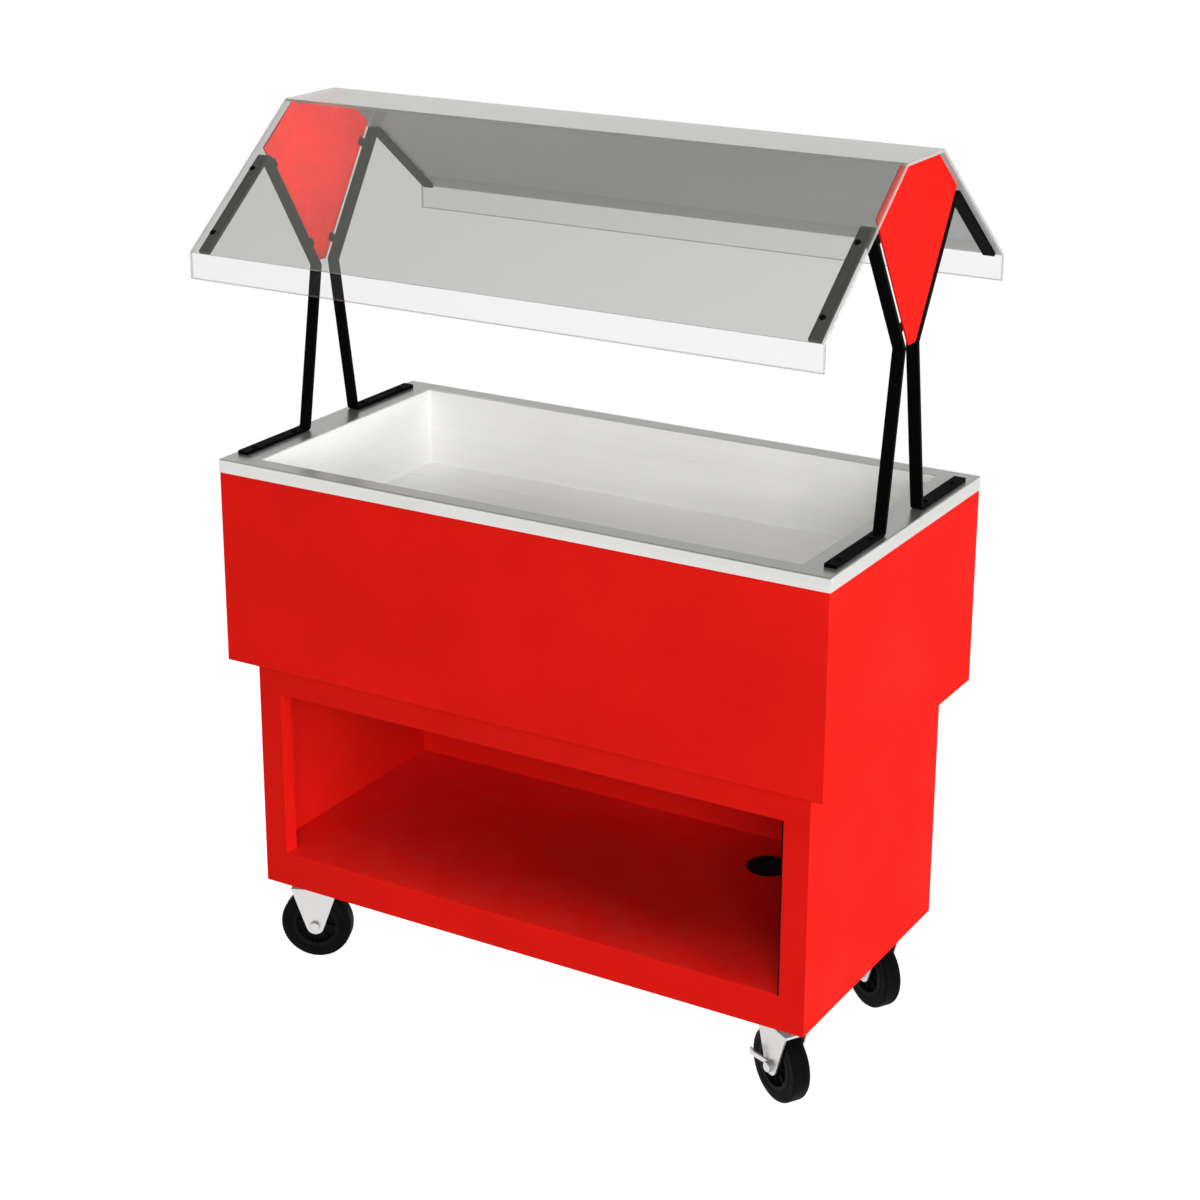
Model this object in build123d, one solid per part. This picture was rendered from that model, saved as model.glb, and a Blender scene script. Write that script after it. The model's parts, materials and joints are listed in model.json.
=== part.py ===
from build123d import *
import math
import os

# Cold food buffet table on casters, in millimetres.
# The origin is on the floor under the middle of the table, +Z is up, and the open front faces -Y.

# Overall sizes of the table
table_length = 1127.0
table_depth = 570.0
base_height = 423.0
apron_height = 338.0
nosing_height = 23.0
base_inset = 38.0

# Sheets
deck_sheet = 1.5
liner_sheet = 1.2
case_sheet = 1.0
body_sheet = 1.5
channel_sheet = 3.0
bearer_sheet = 2.0
bend_radius = 1.0
seam = 0.5
rounding_share = 0.5

# Deck and its nosing
deck_end_width = 61.5
deck_side_width = 33.0
nosing_return = 6.0
nosing_radius = 2.5
well_corner = 6.0

# Cold pan with its seal, foam and case
well_depth = 140.0
well_cove = 4.0
pan_flange = 28.0
seal_thickness = 1.0
seal_width = 14.0
seal_setback = 0.5
foam_wall = 20.0
foam_floor = 30.0
foam_gap = 0.3
bearer_width = 40.0
bearer_height = 30.0
bearer_setback = 160.0

# Apron panels
apron_setback = 1.5
apron_top_flange = 7.5
base_lap = 24.0

# Base cabinet
stile_width = 45.0
stile_return = 28.0
top_rail_height = 61.0
bottom_rail_height = 60.0
base_top_flange = 26.0
shelf_play = 0.5

# Grommet in the shelf, for the drain hose
hose_hole_inset_x = 259.5
hose_hole_inset_y = 104.0
grommet_flange_radius = 38.0
grommet_neck_radius = 33.0
grommet_bore_radius = 25.0
grommet_flange_thickness = 2.5
grommet_play = 0.1
grommet_barb_radius = 36.0
grommet_sleeve_radius = 29.0
grommet_sleeve_depth = 30.0

# Drain, straight above the line of the hose hole
drain_y = 55.0
drain_flange_radius = 40.0
drain_flange_thickness = 3.0
drain_body_radius = 22.0
drain_bore_radius = 17.0
drain_below_case = 25.0
drain_step = 6.0
drain_nut_thickness = 15.0
drain_nut_across_flats = 58.0
drain_spigot_length = 40.0
pipe_radius = 16.7
pipe_bore_radius = 12.5
strainer_radius = 24.0
strainer_thickness = 2.0
strainer_hole_radius = 2.2
strainer_inner_circle = 8.5
strainer_inner_count = 6
strainer_outer_circle = 15.5
strainer_outer_count = 10
strainer_knob_radius = 4.0
strainer_knob_height = 10.0
strainer_play = 0.3
thread_play = 0.05

# Drain valve and hose spigot
socket_depth = 14.0
valve_end_radius = 22.0
valve_waist_radius = 27.0
valve_waist_length = 58.0
valve_end_length = 15.0
ball_radius = 19.0
ball_play = 0.3
stem_radius = 6.0
stem_boss_radius = 11.0
stem_boss_reach = 37.0
lever_width = 20.0
lever_length = 115.0
lever_thickness = 4.0
lever_eye_radius = 12.5
lever_play = 0.5
running_play = 0.05
collar_thickness = 10.0
collar_across_flats = 40.0
hose_spigot_radius = 12.5
hose_spigot_length = 45.0
spigot_chamfer = 1.5

# Canopy: acrylic panels and lips, measured over their outer faces
canopy_rise = 572.6
canopy_top_width = 136.0
canopy_span = 665.0
canopy_drop = 210.8
lip_height = 44.0
acrylic = 5.0

# Canopy supports: bent flat bars, with sizes measured to the bar's centre line
bar_width = 20.0
bar_thickness = 6.0
bar_bend = 3.0
bar_setback = 10.5
toe_setback = 40.0
heel_offset = 71.0
neck_offset = 25.0
neck_rise = 283.0
knee_offset = 155.0
arm_end_gap = 6.0

# Gables and the tabs that join them to the supports
gable_thickness = 3.0
gable_gap = 9.0
gable_tip_width = 26.0
tab_thickness = 3.0
tab_length = 14.0
tab_lap = 10.0
tab_inset = 34.0

# Fasteners of the canopy and its supports
screw_radius = 2.5
screw_play = 0.3
screw_head_radius = 5.0
screw_head_height = 2.6
screw_dome_share = 0.8
foot_bolt_inset = 32.0
foot_nut_radius = 5.5
foot_nut_height = 4.5
shield_screw_inset = 37.0

# Casters: the stack of pieces above the wheel sets the height of the base
wheel_diameter = 127.0
wheel_width = 32.0
crown_gap = 3.0
crown_sheet = 4.0
lower_race_height = 6.4
race_gap = 0.6
upper_race_height = 11.0
plate_thickness = 4.0
caster_trail = 28.0
caster_inset_x = 87.5
caster_inset_y = 71.0
plate_length = 92.0
plate_width = 60.0
plate_corner = 6.0
plate_bolt_x = 74.0
plate_bolt_y = 43.0
caster_bolt_radius = 4.0
caster_bolt_head_across = 13.0
caster_bolt_head_height = 5.3
caster_bolt_spare = 9.0
race_radius = 23.0
kingpin_radius = 6.0
kingpin_head_radius = 9.0
kingpin_head_height = 3.0
fork_sheet = 3.0
fork_gap = 2.5
fork_shoulder = 42.0
fork_foot_radius = 16.0
crown_radius = 27.0
axle_radius = 5.0
axle_head_radius = 9.0
axle_head_height = 5.0
core_radius = 42.0
core_web = 10.0
core_rim = 6.0
core_boss_radius = 15.0
boss_gap = 0.5
tyre_shoulder = 6.0
channel_width = 100.0
swivel_headings = {"front_left": -157.5, "front_right": -30.5, "rear_left": -150.0, "rear_right": -30.5}
braked_casters = ("front_left", "front_right")

# Brake lever on the outside of the fork, on the axle
brake_thickness = 3.5
brake_eye_radius = 10.0
brake_straight = 13.0
brake_reach = 42.0
brake_foot = 10.0
brake_out = 11.0
brake_width = 9.0
brake_lift_angle = 160.0
brake_play = 0.3

# Levels and half sizes that follow from the sizes above
half_length = table_length / 2
half_depth = table_depth / 2
swivel_height = crown_gap + crown_sheet + lower_race_height + race_gap + upper_race_height
caster_height = wheel_diameter + swivel_height + plate_thickness
base_bottom = caster_height
apron_bottom = base_bottom + base_height
nosing_bottom = apron_bottom + apron_height
deck_top = nosing_bottom + nosing_height
base_half_x = half_length - base_inset
base_half_y = half_depth - base_inset
apron_x = half_length - apron_setback
apron_y = half_depth - apron_setback
well_half_x = half_length - deck_end_width
well_half_y = half_depth - deck_side_width
pan_top = deck_top - deck_sheet - seal_thickness
pan_floor = deck_top - well_depth
case_floor = pan_floor - liner_sheet - foam_gap - foam_floor
case_bottom = case_floor - case_sheet
case_half_x = well_half_x + liner_sheet + foam_gap + foam_wall + case_sheet
case_half_y = well_half_y + liner_sheet + foam_gap + foam_wall + case_sheet
shelf_bottom = base_bottom + bottom_rail_height
shelf_top = shelf_bottom + body_sheet
hose_hole_x = base_half_x - hose_hole_inset_x
hose_hole_y = base_half_y - hose_hole_inset_y
drain_x = hose_hole_x
bar_x = half_length - bar_setback - bar_width / 2
gable_outer_x = bar_x + bar_width / 2


def slab(low, high):
    """A plain block between two corners."""
    size = [b - a for a, b in zip(low, high)]
    middle = [(a + b) / 2 for a, b in zip(low, high)]
    return Pos(*middle) * Box(*size)


def post(x, y, low, high, radius):
    """An upright cylinder between two levels."""
    return Pos(x, y, (low + high) / 2) * Cylinder(radius, high - low)


def hex_post(x, y, low, high, across_flats):
    """An upright hexagonal bar between two levels."""
    outline = RegularPolygon(across_flats / 2, 6, major_radius=False)
    return extrude(Pos(x, y, low) * outline, amount=high - low)


def left_offset(points, distance):
    """The points of a line that runs at a distance to the left of another, with mitred corners."""
    runs = [(b - a).normalized() for a, b in zip(points, points[1:])]
    normals = [Vector(-run.Y, run.X) for run in runs]
    line = [points[0] + normals[0] * distance]
    for corner, before, after in zip(points[1:], normals, normals[1:]):
        middle = before + after
        line.append(corner + middle * (2 * distance / middle.dot(middle)))
    line.append(points[-1] + normals[-1] * distance)
    return line


def folded_face(points, thickness, bend):
    """The section of a folded sheet: the points run along one face, and the sheet lies to their left."""
    near = [Vector(*point) for point in points]
    far = left_offset(near, thickness)
    near_radii = []
    far_radii = []
    for before, corner, after in zip(near, near[1:], near[2:]):
        first = corner - before
        second = after - corner
        turns_left = first.X * second.Y - first.Y * second.X > 0
        near_radii.append(bend + thickness if turns_left else bend)
        far_radii.append(bend if turns_left else bend + thickness)
    edges = [
        FilletPolyline(*near, radius=near_radii),
        Line(near[-1], far[-1]),
        FilletPolyline(*reversed(far), radius=far_radii[::-1]),
        Line(far[0], near[0]),
    ]
    return make_face([edge for line in edges for edge in line.edges()])


def along_x(face, low, high):
    """A section drawn in Y and Z, made solid between two X places."""
    return extrude(Plane.YZ.offset(low) * face, amount=high - low)


def along_y(face, low, high):
    """A section drawn in X and Z, made solid between two Y places."""
    return extrude(Plane.XZ.offset(-high) * face, amount=high - low)


def along_z(face, low, high):
    """A section drawn in X and Y, made solid between two levels."""
    return extrude(Pos(0, 0, low) * face, amount=high - low)


def both_ends(solid):
    """The piece for the right end, and its mirror image for the left end."""
    return solid, mirror(solid, about=Plane.YZ)


def make_deck():
    """Stainless deck: a flat sheet with a box-folded nosing round it and the well opening in it."""
    block = slab((-half_length, -half_depth, nosing_bottom), (half_length, half_depth, deck_top))
    round_edges = block.edges().group_by(Axis.Z)[-1] + block.edges().filter_by(Axis.Z)
    deck = fillet(round_edges, nosing_radius)
    inner_x = half_length - deck_sheet
    inner_y = half_depth - deck_sheet
    deck -= slab(
        (-inner_x, -inner_y, nosing_bottom + deck_sheet),
        (inner_x, inner_y, deck_top - deck_sheet),
    )
    mouth_x = inner_x - nosing_return
    mouth_y = inner_y - nosing_return
    deck -= slab((-mouth_x, -mouth_y, nosing_bottom), (mouth_x, mouth_y, nosing_bottom + deck_sheet))
    deck -= along_z(well_outline(0), deck_top - deck_sheet, deck_top)
    for x, y in foot_bolt_places():
        deck -= post(x, y, deck_top - deck_sheet, deck_top, screw_radius + screw_play)
    return deck


def well_outline(grow):
    """The well's rounded outline, grown outwards by a wall."""
    return RectangleRounded(2 * (well_half_x + grow), 2 * (well_half_y + grow), well_corner + grow)


def well_block(grow, high):
    """The space inside the well down to its coved floor, grown outwards by a wall."""
    floor = pan_floor - grow
    block = along_z(well_outline(grow), floor, high)
    return fillet(block.edges().group_by(Axis.Z)[0], well_cove + grow)


def make_cold_pan():
    """Stainless liner of the well, with an outward flange under the deck and a drain hole."""
    pan = well_block(liner_sheet, pan_top)
    pan += along_z(well_outline(pan_flange), pan_top - liner_sheet, pan_top)
    pan -= well_block(0, pan_top)
    hole = drain_body_radius + screw_play
    return pan - post(drain_x, drain_y, pan_floor - liner_sheet, pan_floor, hole)


def make_pan_seal():
    """Soft seal between the deck and the cold pan's flange."""
    ring = well_outline(seal_setback + seal_width) - well_outline(seal_setback)
    return along_z(ring, pan_top, deck_top - deck_sheet)


def make_insulation():
    """Foam round the sides and floor of the cold pan."""
    reach_x = case_half_x - case_sheet
    reach_y = case_half_y - case_sheet
    foam = slab((-reach_x, -reach_y, case_floor), (reach_x, reach_y, pan_top - liner_sheet))
    foam -= well_block(liner_sheet + foam_gap, pan_top)
    hole = drain_body_radius + screw_play
    return foam - post(drain_x, drain_y, case_floor, pan_floor, hole)


def make_case():
    """Sheet case that holds the foam."""
    high = pan_top - liner_sheet
    case = slab((-case_half_x, -case_half_y, case_bottom), (case_half_x, case_half_y, high))
    inner_x = case_half_x - case_sheet
    inner_y = case_half_y - case_sheet
    case -= slab((-inner_x, -inner_y, case_floor), (inner_x, inner_y, high))
    return case - post(drain_x, drain_y, case_bottom, case_floor, drain_body_radius + screw_play)


def make_bearers():
    """Two channels from apron to apron that carry the insulated well."""
    middle = half_length - bearer_setback
    inner = apron_y - body_sheet
    foot = case_bottom - bearer_height
    points = [
        (middle - bearer_width / 2, foot),
        (middle - bearer_width / 2, case_bottom),
        (middle + bearer_width / 2, case_bottom),
        (middle + bearer_width / 2, foot),
    ]
    section = folded_face(points[::-1], bearer_sheet, bend_radius)
    right, left = both_ends(along_y(section, -inner, inner))
    return Compound(children=[left, right])


def make_front_apron():
    """Front apron panel, folded inwards at its top and bottom."""
    top_lip = -apron_y + apron_top_flange
    bottom_lip = -base_half_y + base_lap
    points = [
        (top_lip, nosing_bottom),
        (-apron_y, nosing_bottom),
        (-apron_y, apron_bottom),
        (bottom_lip, apron_bottom),
    ]
    panel = along_x(folded_face(points, body_sheet, bend_radius), -apron_x, apron_x)
    fold = body_sheet + bend_radius
    for low, high in ((nosing_bottom - fold, nosing_bottom), (apron_bottom, apron_bottom + fold)):
        for side in (-1, 1):
            notch = sorted((side * (apron_x - fold - seam), side * apron_x))
            panel -= slab((notch[0], -apron_y + body_sheet, low), (notch[1], bottom_lip, high))
    return panel


def make_end_apron():
    """Right apron panel, which fits between the front and rear ones."""
    top_lip = apron_x - apron_top_flange
    bottom_lip = base_half_x - base_lap
    points = [
        (bottom_lip, apron_bottom),
        (apron_x, apron_bottom),
        (apron_x, nosing_bottom),
        (top_lip, nosing_bottom),
    ]
    reach = apron_y - body_sheet
    panel = along_y(folded_face(points, body_sheet, bend_radius), -reach, reach)
    top_reach = apron_y - apron_top_flange - seam
    bottom_reach = base_half_y - base_lap - seam
    inner = apron_x - body_sheet - bend_radius
    for low, high, clear in (
        (nosing_bottom - body_sheet, nosing_bottom, top_reach),
        (apron_bottom, apron_bottom + body_sheet, bottom_reach),
    ):
        for side in (-1, 1):
            corner = sorted((side * clear, side * reach))
            panel -= slab((bottom_lip - seam, corner[0], low), (inner, corner[1], high))
    return panel


def make_base_end():
    """Right end of the base, folded inwards at its top."""
    points = [
        (base_half_x - base_top_flange, apron_bottom),
        (base_half_x, apron_bottom),
        (base_half_x, base_bottom),
    ]
    panel = along_y(folded_face(points[::-1], body_sheet, bend_radius), -base_half_y, base_half_y)
    fold = body_sheet + bend_radius
    notch = base_half_y - fold - seam
    for side in (-1, 1):
        corner = sorted((side * notch, side * base_half_y))
        panel -= slab(
            (base_half_x - base_top_flange, corner[0], apron_bottom - fold),
            (base_half_x - body_sheet, corner[1], apron_bottom),
        )
    return panel


def make_base_back():
    """Back of the base, between its ends, folded inwards at its top."""
    points = [
        (base_half_y, base_bottom),
        (base_half_y, apron_bottom),
        (base_half_y - base_top_flange, apron_bottom),
    ]
    reach = base_half_x - body_sheet
    panel = along_x(folded_face(points, body_sheet, bend_radius), -reach, reach)
    flange_reach = base_half_x - base_top_flange - seam
    fold = base_half_y - body_sheet - bend_radius
    for side in (-1, 1):
        corner = sorted((side * flange_reach, side * reach))
        panel -= slab(
            (corner[0], base_half_y - base_top_flange, apron_bottom - body_sheet),
            (corner[1], fold, apron_bottom),
        )
    return panel


def make_base_front():
    """Front frame of the base: one sheet with the open front cut in it and folded inwards round it."""
    front = -base_half_y
    side = base_half_x - stile_width
    high = apron_bottom - top_rail_height
    frame = mirror(make_base_back(), about=Plane.XZ)
    frame += slab(
        (-side - body_sheet, front, shelf_bottom - body_sheet),
        (side + body_sheet, front + stile_return, high + body_sheet),
    )
    frame -= slab((-side, front, shelf_bottom), (side, front + stile_return, high))
    mouth = [
        edge
        for edge in frame.edges().group_by(Axis.Y)[0]
        if abs(edge.center().X) < side + seam and shelf_bottom - seam < edge.center().Z < high + seam
    ]
    return fillet(mouth, bend_radius)


def make_shelf():
    """Bottom shelf: a flat sheet with a tongue between the stiles and a hole for the grommet."""
    side = base_half_x - body_sheet - shelf_play
    back = base_half_y - body_sheet - shelf_play
    shoulder = -base_half_y + stile_return + shelf_play
    tongue = base_half_x - stile_width - shelf_play
    front = -base_half_y + shelf_play
    shelf = slab((-side, shoulder, shelf_bottom), (side, back, shelf_top))
    shelf += slab((-tongue, front, shelf_bottom), (tongue, shoulder, shelf_top))
    hole = grommet_neck_radius + grommet_play
    return shelf - post(hose_hole_x, hose_hole_y, shelf_bottom, shelf_top, hole)


def make_grommet():
    """Rubber grommet in the shelf's hole: a flange on top, a barb below and a sleeve that guides the hose."""
    low = shelf_bottom - grommet_sleeve_depth
    high = shelf_top + grommet_flange_thickness
    barb = shelf_bottom - grommet_flange_thickness
    ring = post(hose_hole_x, hose_hole_y, low, barb, grommet_sleeve_radius)
    ring += post(hose_hole_x, hose_hole_y, barb, shelf_bottom, grommet_barb_radius)
    ring += post(hose_hole_x, hose_hole_y, shelf_bottom, shelf_top, grommet_neck_radius)
    ring += post(hose_hole_x, hose_hole_y, shelf_top, high, grommet_flange_radius)
    ring = fillet(ring.edges().group_by(Axis.Z)[-1], grommet_flange_thickness * rounding_share)
    return ring - post(hose_hole_x, hose_hole_y, low, high, grommet_bore_radius)


def make_channels():
    """Two channels under the shelf, open towards the middle, that the casters bolt to."""
    middle = base_half_x - caster_inset_x
    points = [
        (middle - channel_width / 2, base_bottom),
        (middle + channel_width / 2, base_bottom),
        (middle + channel_width / 2, shelf_bottom),
        (middle - channel_width / 2, shelf_bottom),
    ]
    front = -base_half_y + stile_return
    back = base_half_y - body_sheet
    section = folded_face(points, channel_sheet, bend_radius)
    right = along_y(section, front, back)
    for x, y in plate_bolt_places():
        if x > 0:
            right -= post(x, y, base_bottom, base_bottom + channel_sheet, caster_bolt_radius + screw_play)
    return Compound(children=list(both_ends(right)))


def spigot_foot():
    """Level of the drain spigot's lower end, inside the valve's upper socket."""
    return case_bottom - drain_below_case - drain_spigot_length


def make_drain_body():
    """Drain fitting: a flange on the pan's floor, a body through the foam and case, and a pipe spigot."""
    top = pan_floor + drain_flange_thickness
    foot = case_bottom - drain_below_case
    body = post(drain_x, drain_y, pan_floor, top, drain_flange_radius)
    body = chamfer(body.edges().group_by(Axis.Z)[-1], drain_flange_thickness * rounding_share)
    body += post(drain_x, drain_y, foot, pan_floor, drain_body_radius)
    body += post(drain_x, drain_y, spigot_foot(), foot, pipe_radius)
    seat = top - strainer_thickness
    body -= post(drain_x, drain_y, seat, top, strainer_radius + strainer_play)
    body -= post(drain_x, drain_y, foot + drain_step, seat, drain_bore_radius)
    return body - post(drain_x, drain_y, spigot_foot(), foot + drain_step, pipe_bore_radius)


def make_drain_nut():
    """Locknut that clamps the drain fitting under the case."""
    low = case_bottom - drain_nut_thickness
    nut = hex_post(drain_x, drain_y, low, case_bottom, drain_nut_across_flats)
    return nut - post(drain_x, drain_y, low, case_bottom, drain_body_radius + thread_play)


def make_strainer():
    """Lift-out strainer plate with a small knob."""
    top = pan_floor + drain_flange_thickness
    plate = post(drain_x, drain_y, top - strainer_thickness, top, strainer_radius)
    holes = PolarLocations(strainer_inner_circle, strainer_inner_count).locations
    holes += PolarLocations(strainer_outer_circle, strainer_outer_count).locations
    for hole in holes:
        x = drain_x + hole.position.X
        y = drain_y + hole.position.Y
        plate -= post(x, y, top - strainer_thickness, top, strainer_hole_radius)
    knob = post(drain_x, drain_y, top, top + strainer_knob_height, strainer_knob_radius)
    knob = fillet(knob.edges().group_by(Axis.Z)[-1], strainer_knob_radius * rounding_share)
    return plate + knob


def valve_levels():
    """Levels of the valve's top, middle and bottom."""
    top = spigot_foot() + socket_depth
    half = valve_waist_length / 2 + valve_end_length
    return top, top - half, top - 2 * half


def stem_post(start, end, radius):
    """A cylinder on the valve stem's axis, between two distances in front of the pipe."""
    middle = valve_levels()[1]
    return Pos(drain_x, drain_y - (start + end) / 2, middle) * Rot(90, 0, 0) * Cylinder(radius, end - start)


def make_valve_body():
    """Ball valve body on the drain's spigot, with a boss in front for the stem."""
    top, middle, bottom = valve_levels()
    waist = valve_waist_length / 2
    body = post(drain_x, drain_y, bottom, top, valve_end_radius)
    body += post(drain_x, drain_y, middle - waist, middle + waist, valve_waist_radius)
    body += stem_post(0, stem_boss_reach, stem_boss_radius)
    body -= post(drain_x, drain_y, bottom, top, pipe_bore_radius)
    for low, high in ((top - socket_depth, top), (bottom, bottom + socket_depth)):
        body -= post(drain_x, drain_y, low, high, pipe_radius + thread_play)
    body -= Pos(drain_x, drain_y, middle) * Sphere(ball_radius + ball_play)
    return body - stem_post(0, stem_boss_reach, stem_radius + running_play)


def make_valve_ball():
    """Ball with its bore across the pipe, as when shut, and the stem that turns it."""
    middle = valve_levels()[1]
    ball = Pos(drain_x, drain_y, middle) * Sphere(ball_radius)
    bore = Cylinder(pipe_bore_radius, 2 * (ball_radius + ball_play))
    ball -= Pos(drain_x, drain_y, middle) * Rot(0, 90, 0) * bore
    reach = stem_boss_reach + lever_play + lever_thickness
    return ball + stem_post(pipe_bore_radius + seam, reach + lever_play, stem_radius)


def make_valve_lever():
    """Flat lever on the end of the stem, level when the valve is shut."""
    middle = valve_levels()[1]
    outline = Pos(-lever_length / 2, 0) * SlotCenterToCenter(lever_length, lever_width)
    outline += Circle(lever_eye_radius)
    outline -= Circle(stem_radius + running_play)
    back = stem_boss_reach + lever_play
    plane = Plane.XZ.offset(-(drain_y - back))
    return extrude(plane * Pos(drain_x, middle) * outline, amount=lever_thickness)


def hose_spigot_levels():
    """Levels of the hose spigot's socket end, its collar and its free end."""
    collar_top = valve_levels()[2]
    collar_foot = collar_top - collar_thickness
    return collar_top, collar_foot, collar_foot - hose_spigot_length


def make_hose_spigot():
    """Spigot under the valve, for a drain hose to push on."""
    collar_top, collar_foot, foot = hose_spigot_levels()
    spigot = post(drain_x, drain_y, foot, collar_foot, hose_spigot_radius)
    spigot = chamfer(spigot.edges().group_by(Axis.Z)[0], spigot_chamfer)
    spigot += hex_post(drain_x, drain_y, collar_foot, collar_top, collar_across_flats)
    spigot += post(drain_x, drain_y, collar_top, collar_top + socket_depth, pipe_radius)
    bore = hose_spigot_radius - 2 * spigot_chamfer
    return spigot - post(drain_x, drain_y, foot, collar_top + socket_depth, bore)


def canopy_lines():
    """Outer and inner lines of the canopy's section, from the front lip over the top to the rear lip."""
    top = deck_top + canopy_rise
    edge = top - canopy_drop
    foot = edge - lip_height
    half_span = canopy_span / 2
    half_top = canopy_top_width / 2
    rear = [Vector(half_top, top), Vector(half_span, edge), Vector(half_span, foot)]
    front = [Vector(-point.X, point.Y) for point in reversed(rear)]
    outer = front + rear
    return outer, left_offset(outer, -acrylic)


def rear_slope():
    """A point on the rear slope's inner face, the direction down it, and its outward normal."""
    inner = canopy_lines()[1]
    down = (inner[4] - inner[3]).normalized()
    return inner[3], down, Vector(-down.Y, down.X)


def meet(point, direction, other, other_direction):
    """The point where two lines of a section cross."""
    across = direction.X * other_direction.Y - direction.Y * other_direction.X
    gap = other - point
    return point + direction * ((gap.X * other_direction.Y - gap.Y * other_direction.X) / across)


def bar_line():
    """Centre line of a rear support: toe, heel, neck, knee and arm end, as Y and Z."""
    start, down, normal = rear_slope()
    under = start - normal * (bar_thickness / 2)
    level = deck_top + bar_thickness / 2
    knee = meet(under, down, Vector(knee_offset, 0), Vector(0, 1))
    end = meet(under, down, Vector(canopy_span / 2 - acrylic - arm_end_gap, 0), Vector(0, 1))
    return [
        Vector(half_depth - toe_setback, level),
        Vector(heel_offset, level),
        Vector(neck_offset, deck_top + neck_rise),
        knee,
        end,
    ]


def shield_screw_points():
    """Places of the two screws in a rear arm, on the slope's inner face, as Y and Z."""
    line = bar_line()
    start, down, _ = rear_slope()
    knee = start + down * (line[3] - start).dot(down)
    length = (line[4] - line[3]).length
    return [knee + down * shield_screw_inset, knee + down * (length - shield_screw_inset)]


def slope_post(x, point, low, high, radius):
    """A cylinder square to the rear slope, between two heights over its inner face."""
    normal = rear_slope()[2]
    out = Vector(0, normal.X, normal.Y)
    plane = Plane(origin=Vector(x, point.X, point.Y) + out * low, z_dir=out)
    return extrude(plane * Circle(radius), amount=high - low)


def foot_bolt_places():
    """Places of the two bolts in each of the four feet."""
    toe = half_depth - toe_setback - foot_bolt_inset
    heel = heel_offset + foot_bolt_inset
    return [(x, side * y) for x in (-bar_x, bar_x) for side in (-1, 1) for y in (heel, toe)]


def make_support():
    """Right rear support: one bent flat bar from its foot on the deck to its arm under the slope."""
    section = folded_face(left_offset(bar_line(), -bar_thickness / 2), bar_thickness, bar_bend)
    bar = along_x(section, bar_x - bar_width / 2, bar_x + bar_width / 2)
    for x, y in foot_bolt_places():
        if x > 0 and y > 0:
            bar -= post(x, y, deck_top, deck_top + bar_thickness, screw_radius + screw_play)
    for point in shield_screw_points():
        bar -= slope_post(bar_x, point, -bar_thickness, 0, screw_radius + thread_play)
    return bar


def arm_edge():
    """A point on the gable's rear lower edge, the direction up it, and the normal into the gable."""
    line = bar_line()
    up = (line[3] - line[2]).normalized()
    inward = Vector(-up.Y, up.X)
    return line[2] + inward * (bar_thickness / 2 + gable_gap), up, inward


def make_gable():
    """Right gable: a flat panel under the canopy, between the front and rear supports."""
    inner = canopy_lines()[1]
    start, down, _ = rear_slope()
    edge, up, _ = arm_edge()
    side = meet(edge, up, start, down)
    tip = meet(edge, up, Vector(gable_tip_width / 2, 0), Vector(0, 1))
    rear = [inner[3], side, tip]
    front = [Vector(-point.X, point.Y) for point in reversed(rear)]
    outline = make_face(Polyline(*rear, *front, close=True))
    return along_x(outline, gable_outer_x - gable_thickness, gable_outer_x)


def make_tabs():
    """Tabs from the supports to the inner faces of the gables, two to each support."""
    line = bar_line()
    _, up, inward = arm_edge()
    length = (line[3] - line[2]).length
    face = gable_outer_x - gable_thickness
    tabs = []
    for distance in (tab_inset, length - tab_inset):
        root = line[2] + up * distance + inward * (bar_thickness / 2)
        tip = root + inward * (gable_gap + tab_lap)
        half = up * (tab_length / 2)
        outline = make_face(Polyline(root - half, tip - half, tip + half, root + half, close=True))
        tabs.append(along_x(outline, face - tab_thickness, face))
    return Compound(children=four_corners(tabs))


def four_corners(solids):
    """Copies of the right rear pieces at all four corners."""
    copies = []
    for solid in solids:
        rear = both_ends(solid)
        copies += [*rear, *[mirror(piece, about=Plane.XZ) for piece in rear]]
    return copies


def make_canopy_panel(number):
    """One acrylic panel of the canopy, mitred to its neighbours."""
    outer, inner = canopy_lines()
    corners = [outer[number], outer[number + 1], inner[number + 1], inner[number]]
    return along_x(make_face(Polyline(*corners, close=True)), -half_length, half_length)


def make_rear_shield():
    """Rear sloping panel, with holes for its screws."""
    panel = make_canopy_panel(3)
    for x in (-bar_x, bar_x):
        for point in shield_screw_points():
            panel -= slope_post(x, point, 0, acrylic, screw_radius + screw_play)
    return panel


def button_head(x, point):
    """A button-head screw in the rear slope: a domed head on the panel and a shank into the arm."""
    head = slope_post(x, point, acrylic, acrylic + screw_head_height, screw_head_radius)
    normal = rear_slope()[2]
    rim = head.edges().sort_by(Axis((x, point.X, point.Y), (0, normal.X, normal.Y)))[-1]
    head = fillet(rim, screw_head_height * screw_dome_share)
    return head + slope_post(x, point, -bar_thickness, acrylic, screw_radius)


def make_shield_screws():
    """Button-head screws that hold the sloping panels to the arms."""
    screws = [button_head(bar_x, point) for point in shield_screw_points()]
    return Compound(children=four_corners(screws))


def make_foot_bolts():
    """Button-head bolts through the feet and the deck."""
    bolts = []
    top = deck_top + bar_thickness
    end = deck_top - deck_sheet - foot_nut_height
    for x, y in foot_bolt_places():
        head = post(x, y, top, top + screw_head_height, screw_head_radius)
        head = fillet(head.edges().group_by(Axis.Z)[-1], screw_head_height * screw_dome_share)
        bolts.append(head + post(x, y, end, top, screw_radius))
    return Compound(children=bolts)


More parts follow.
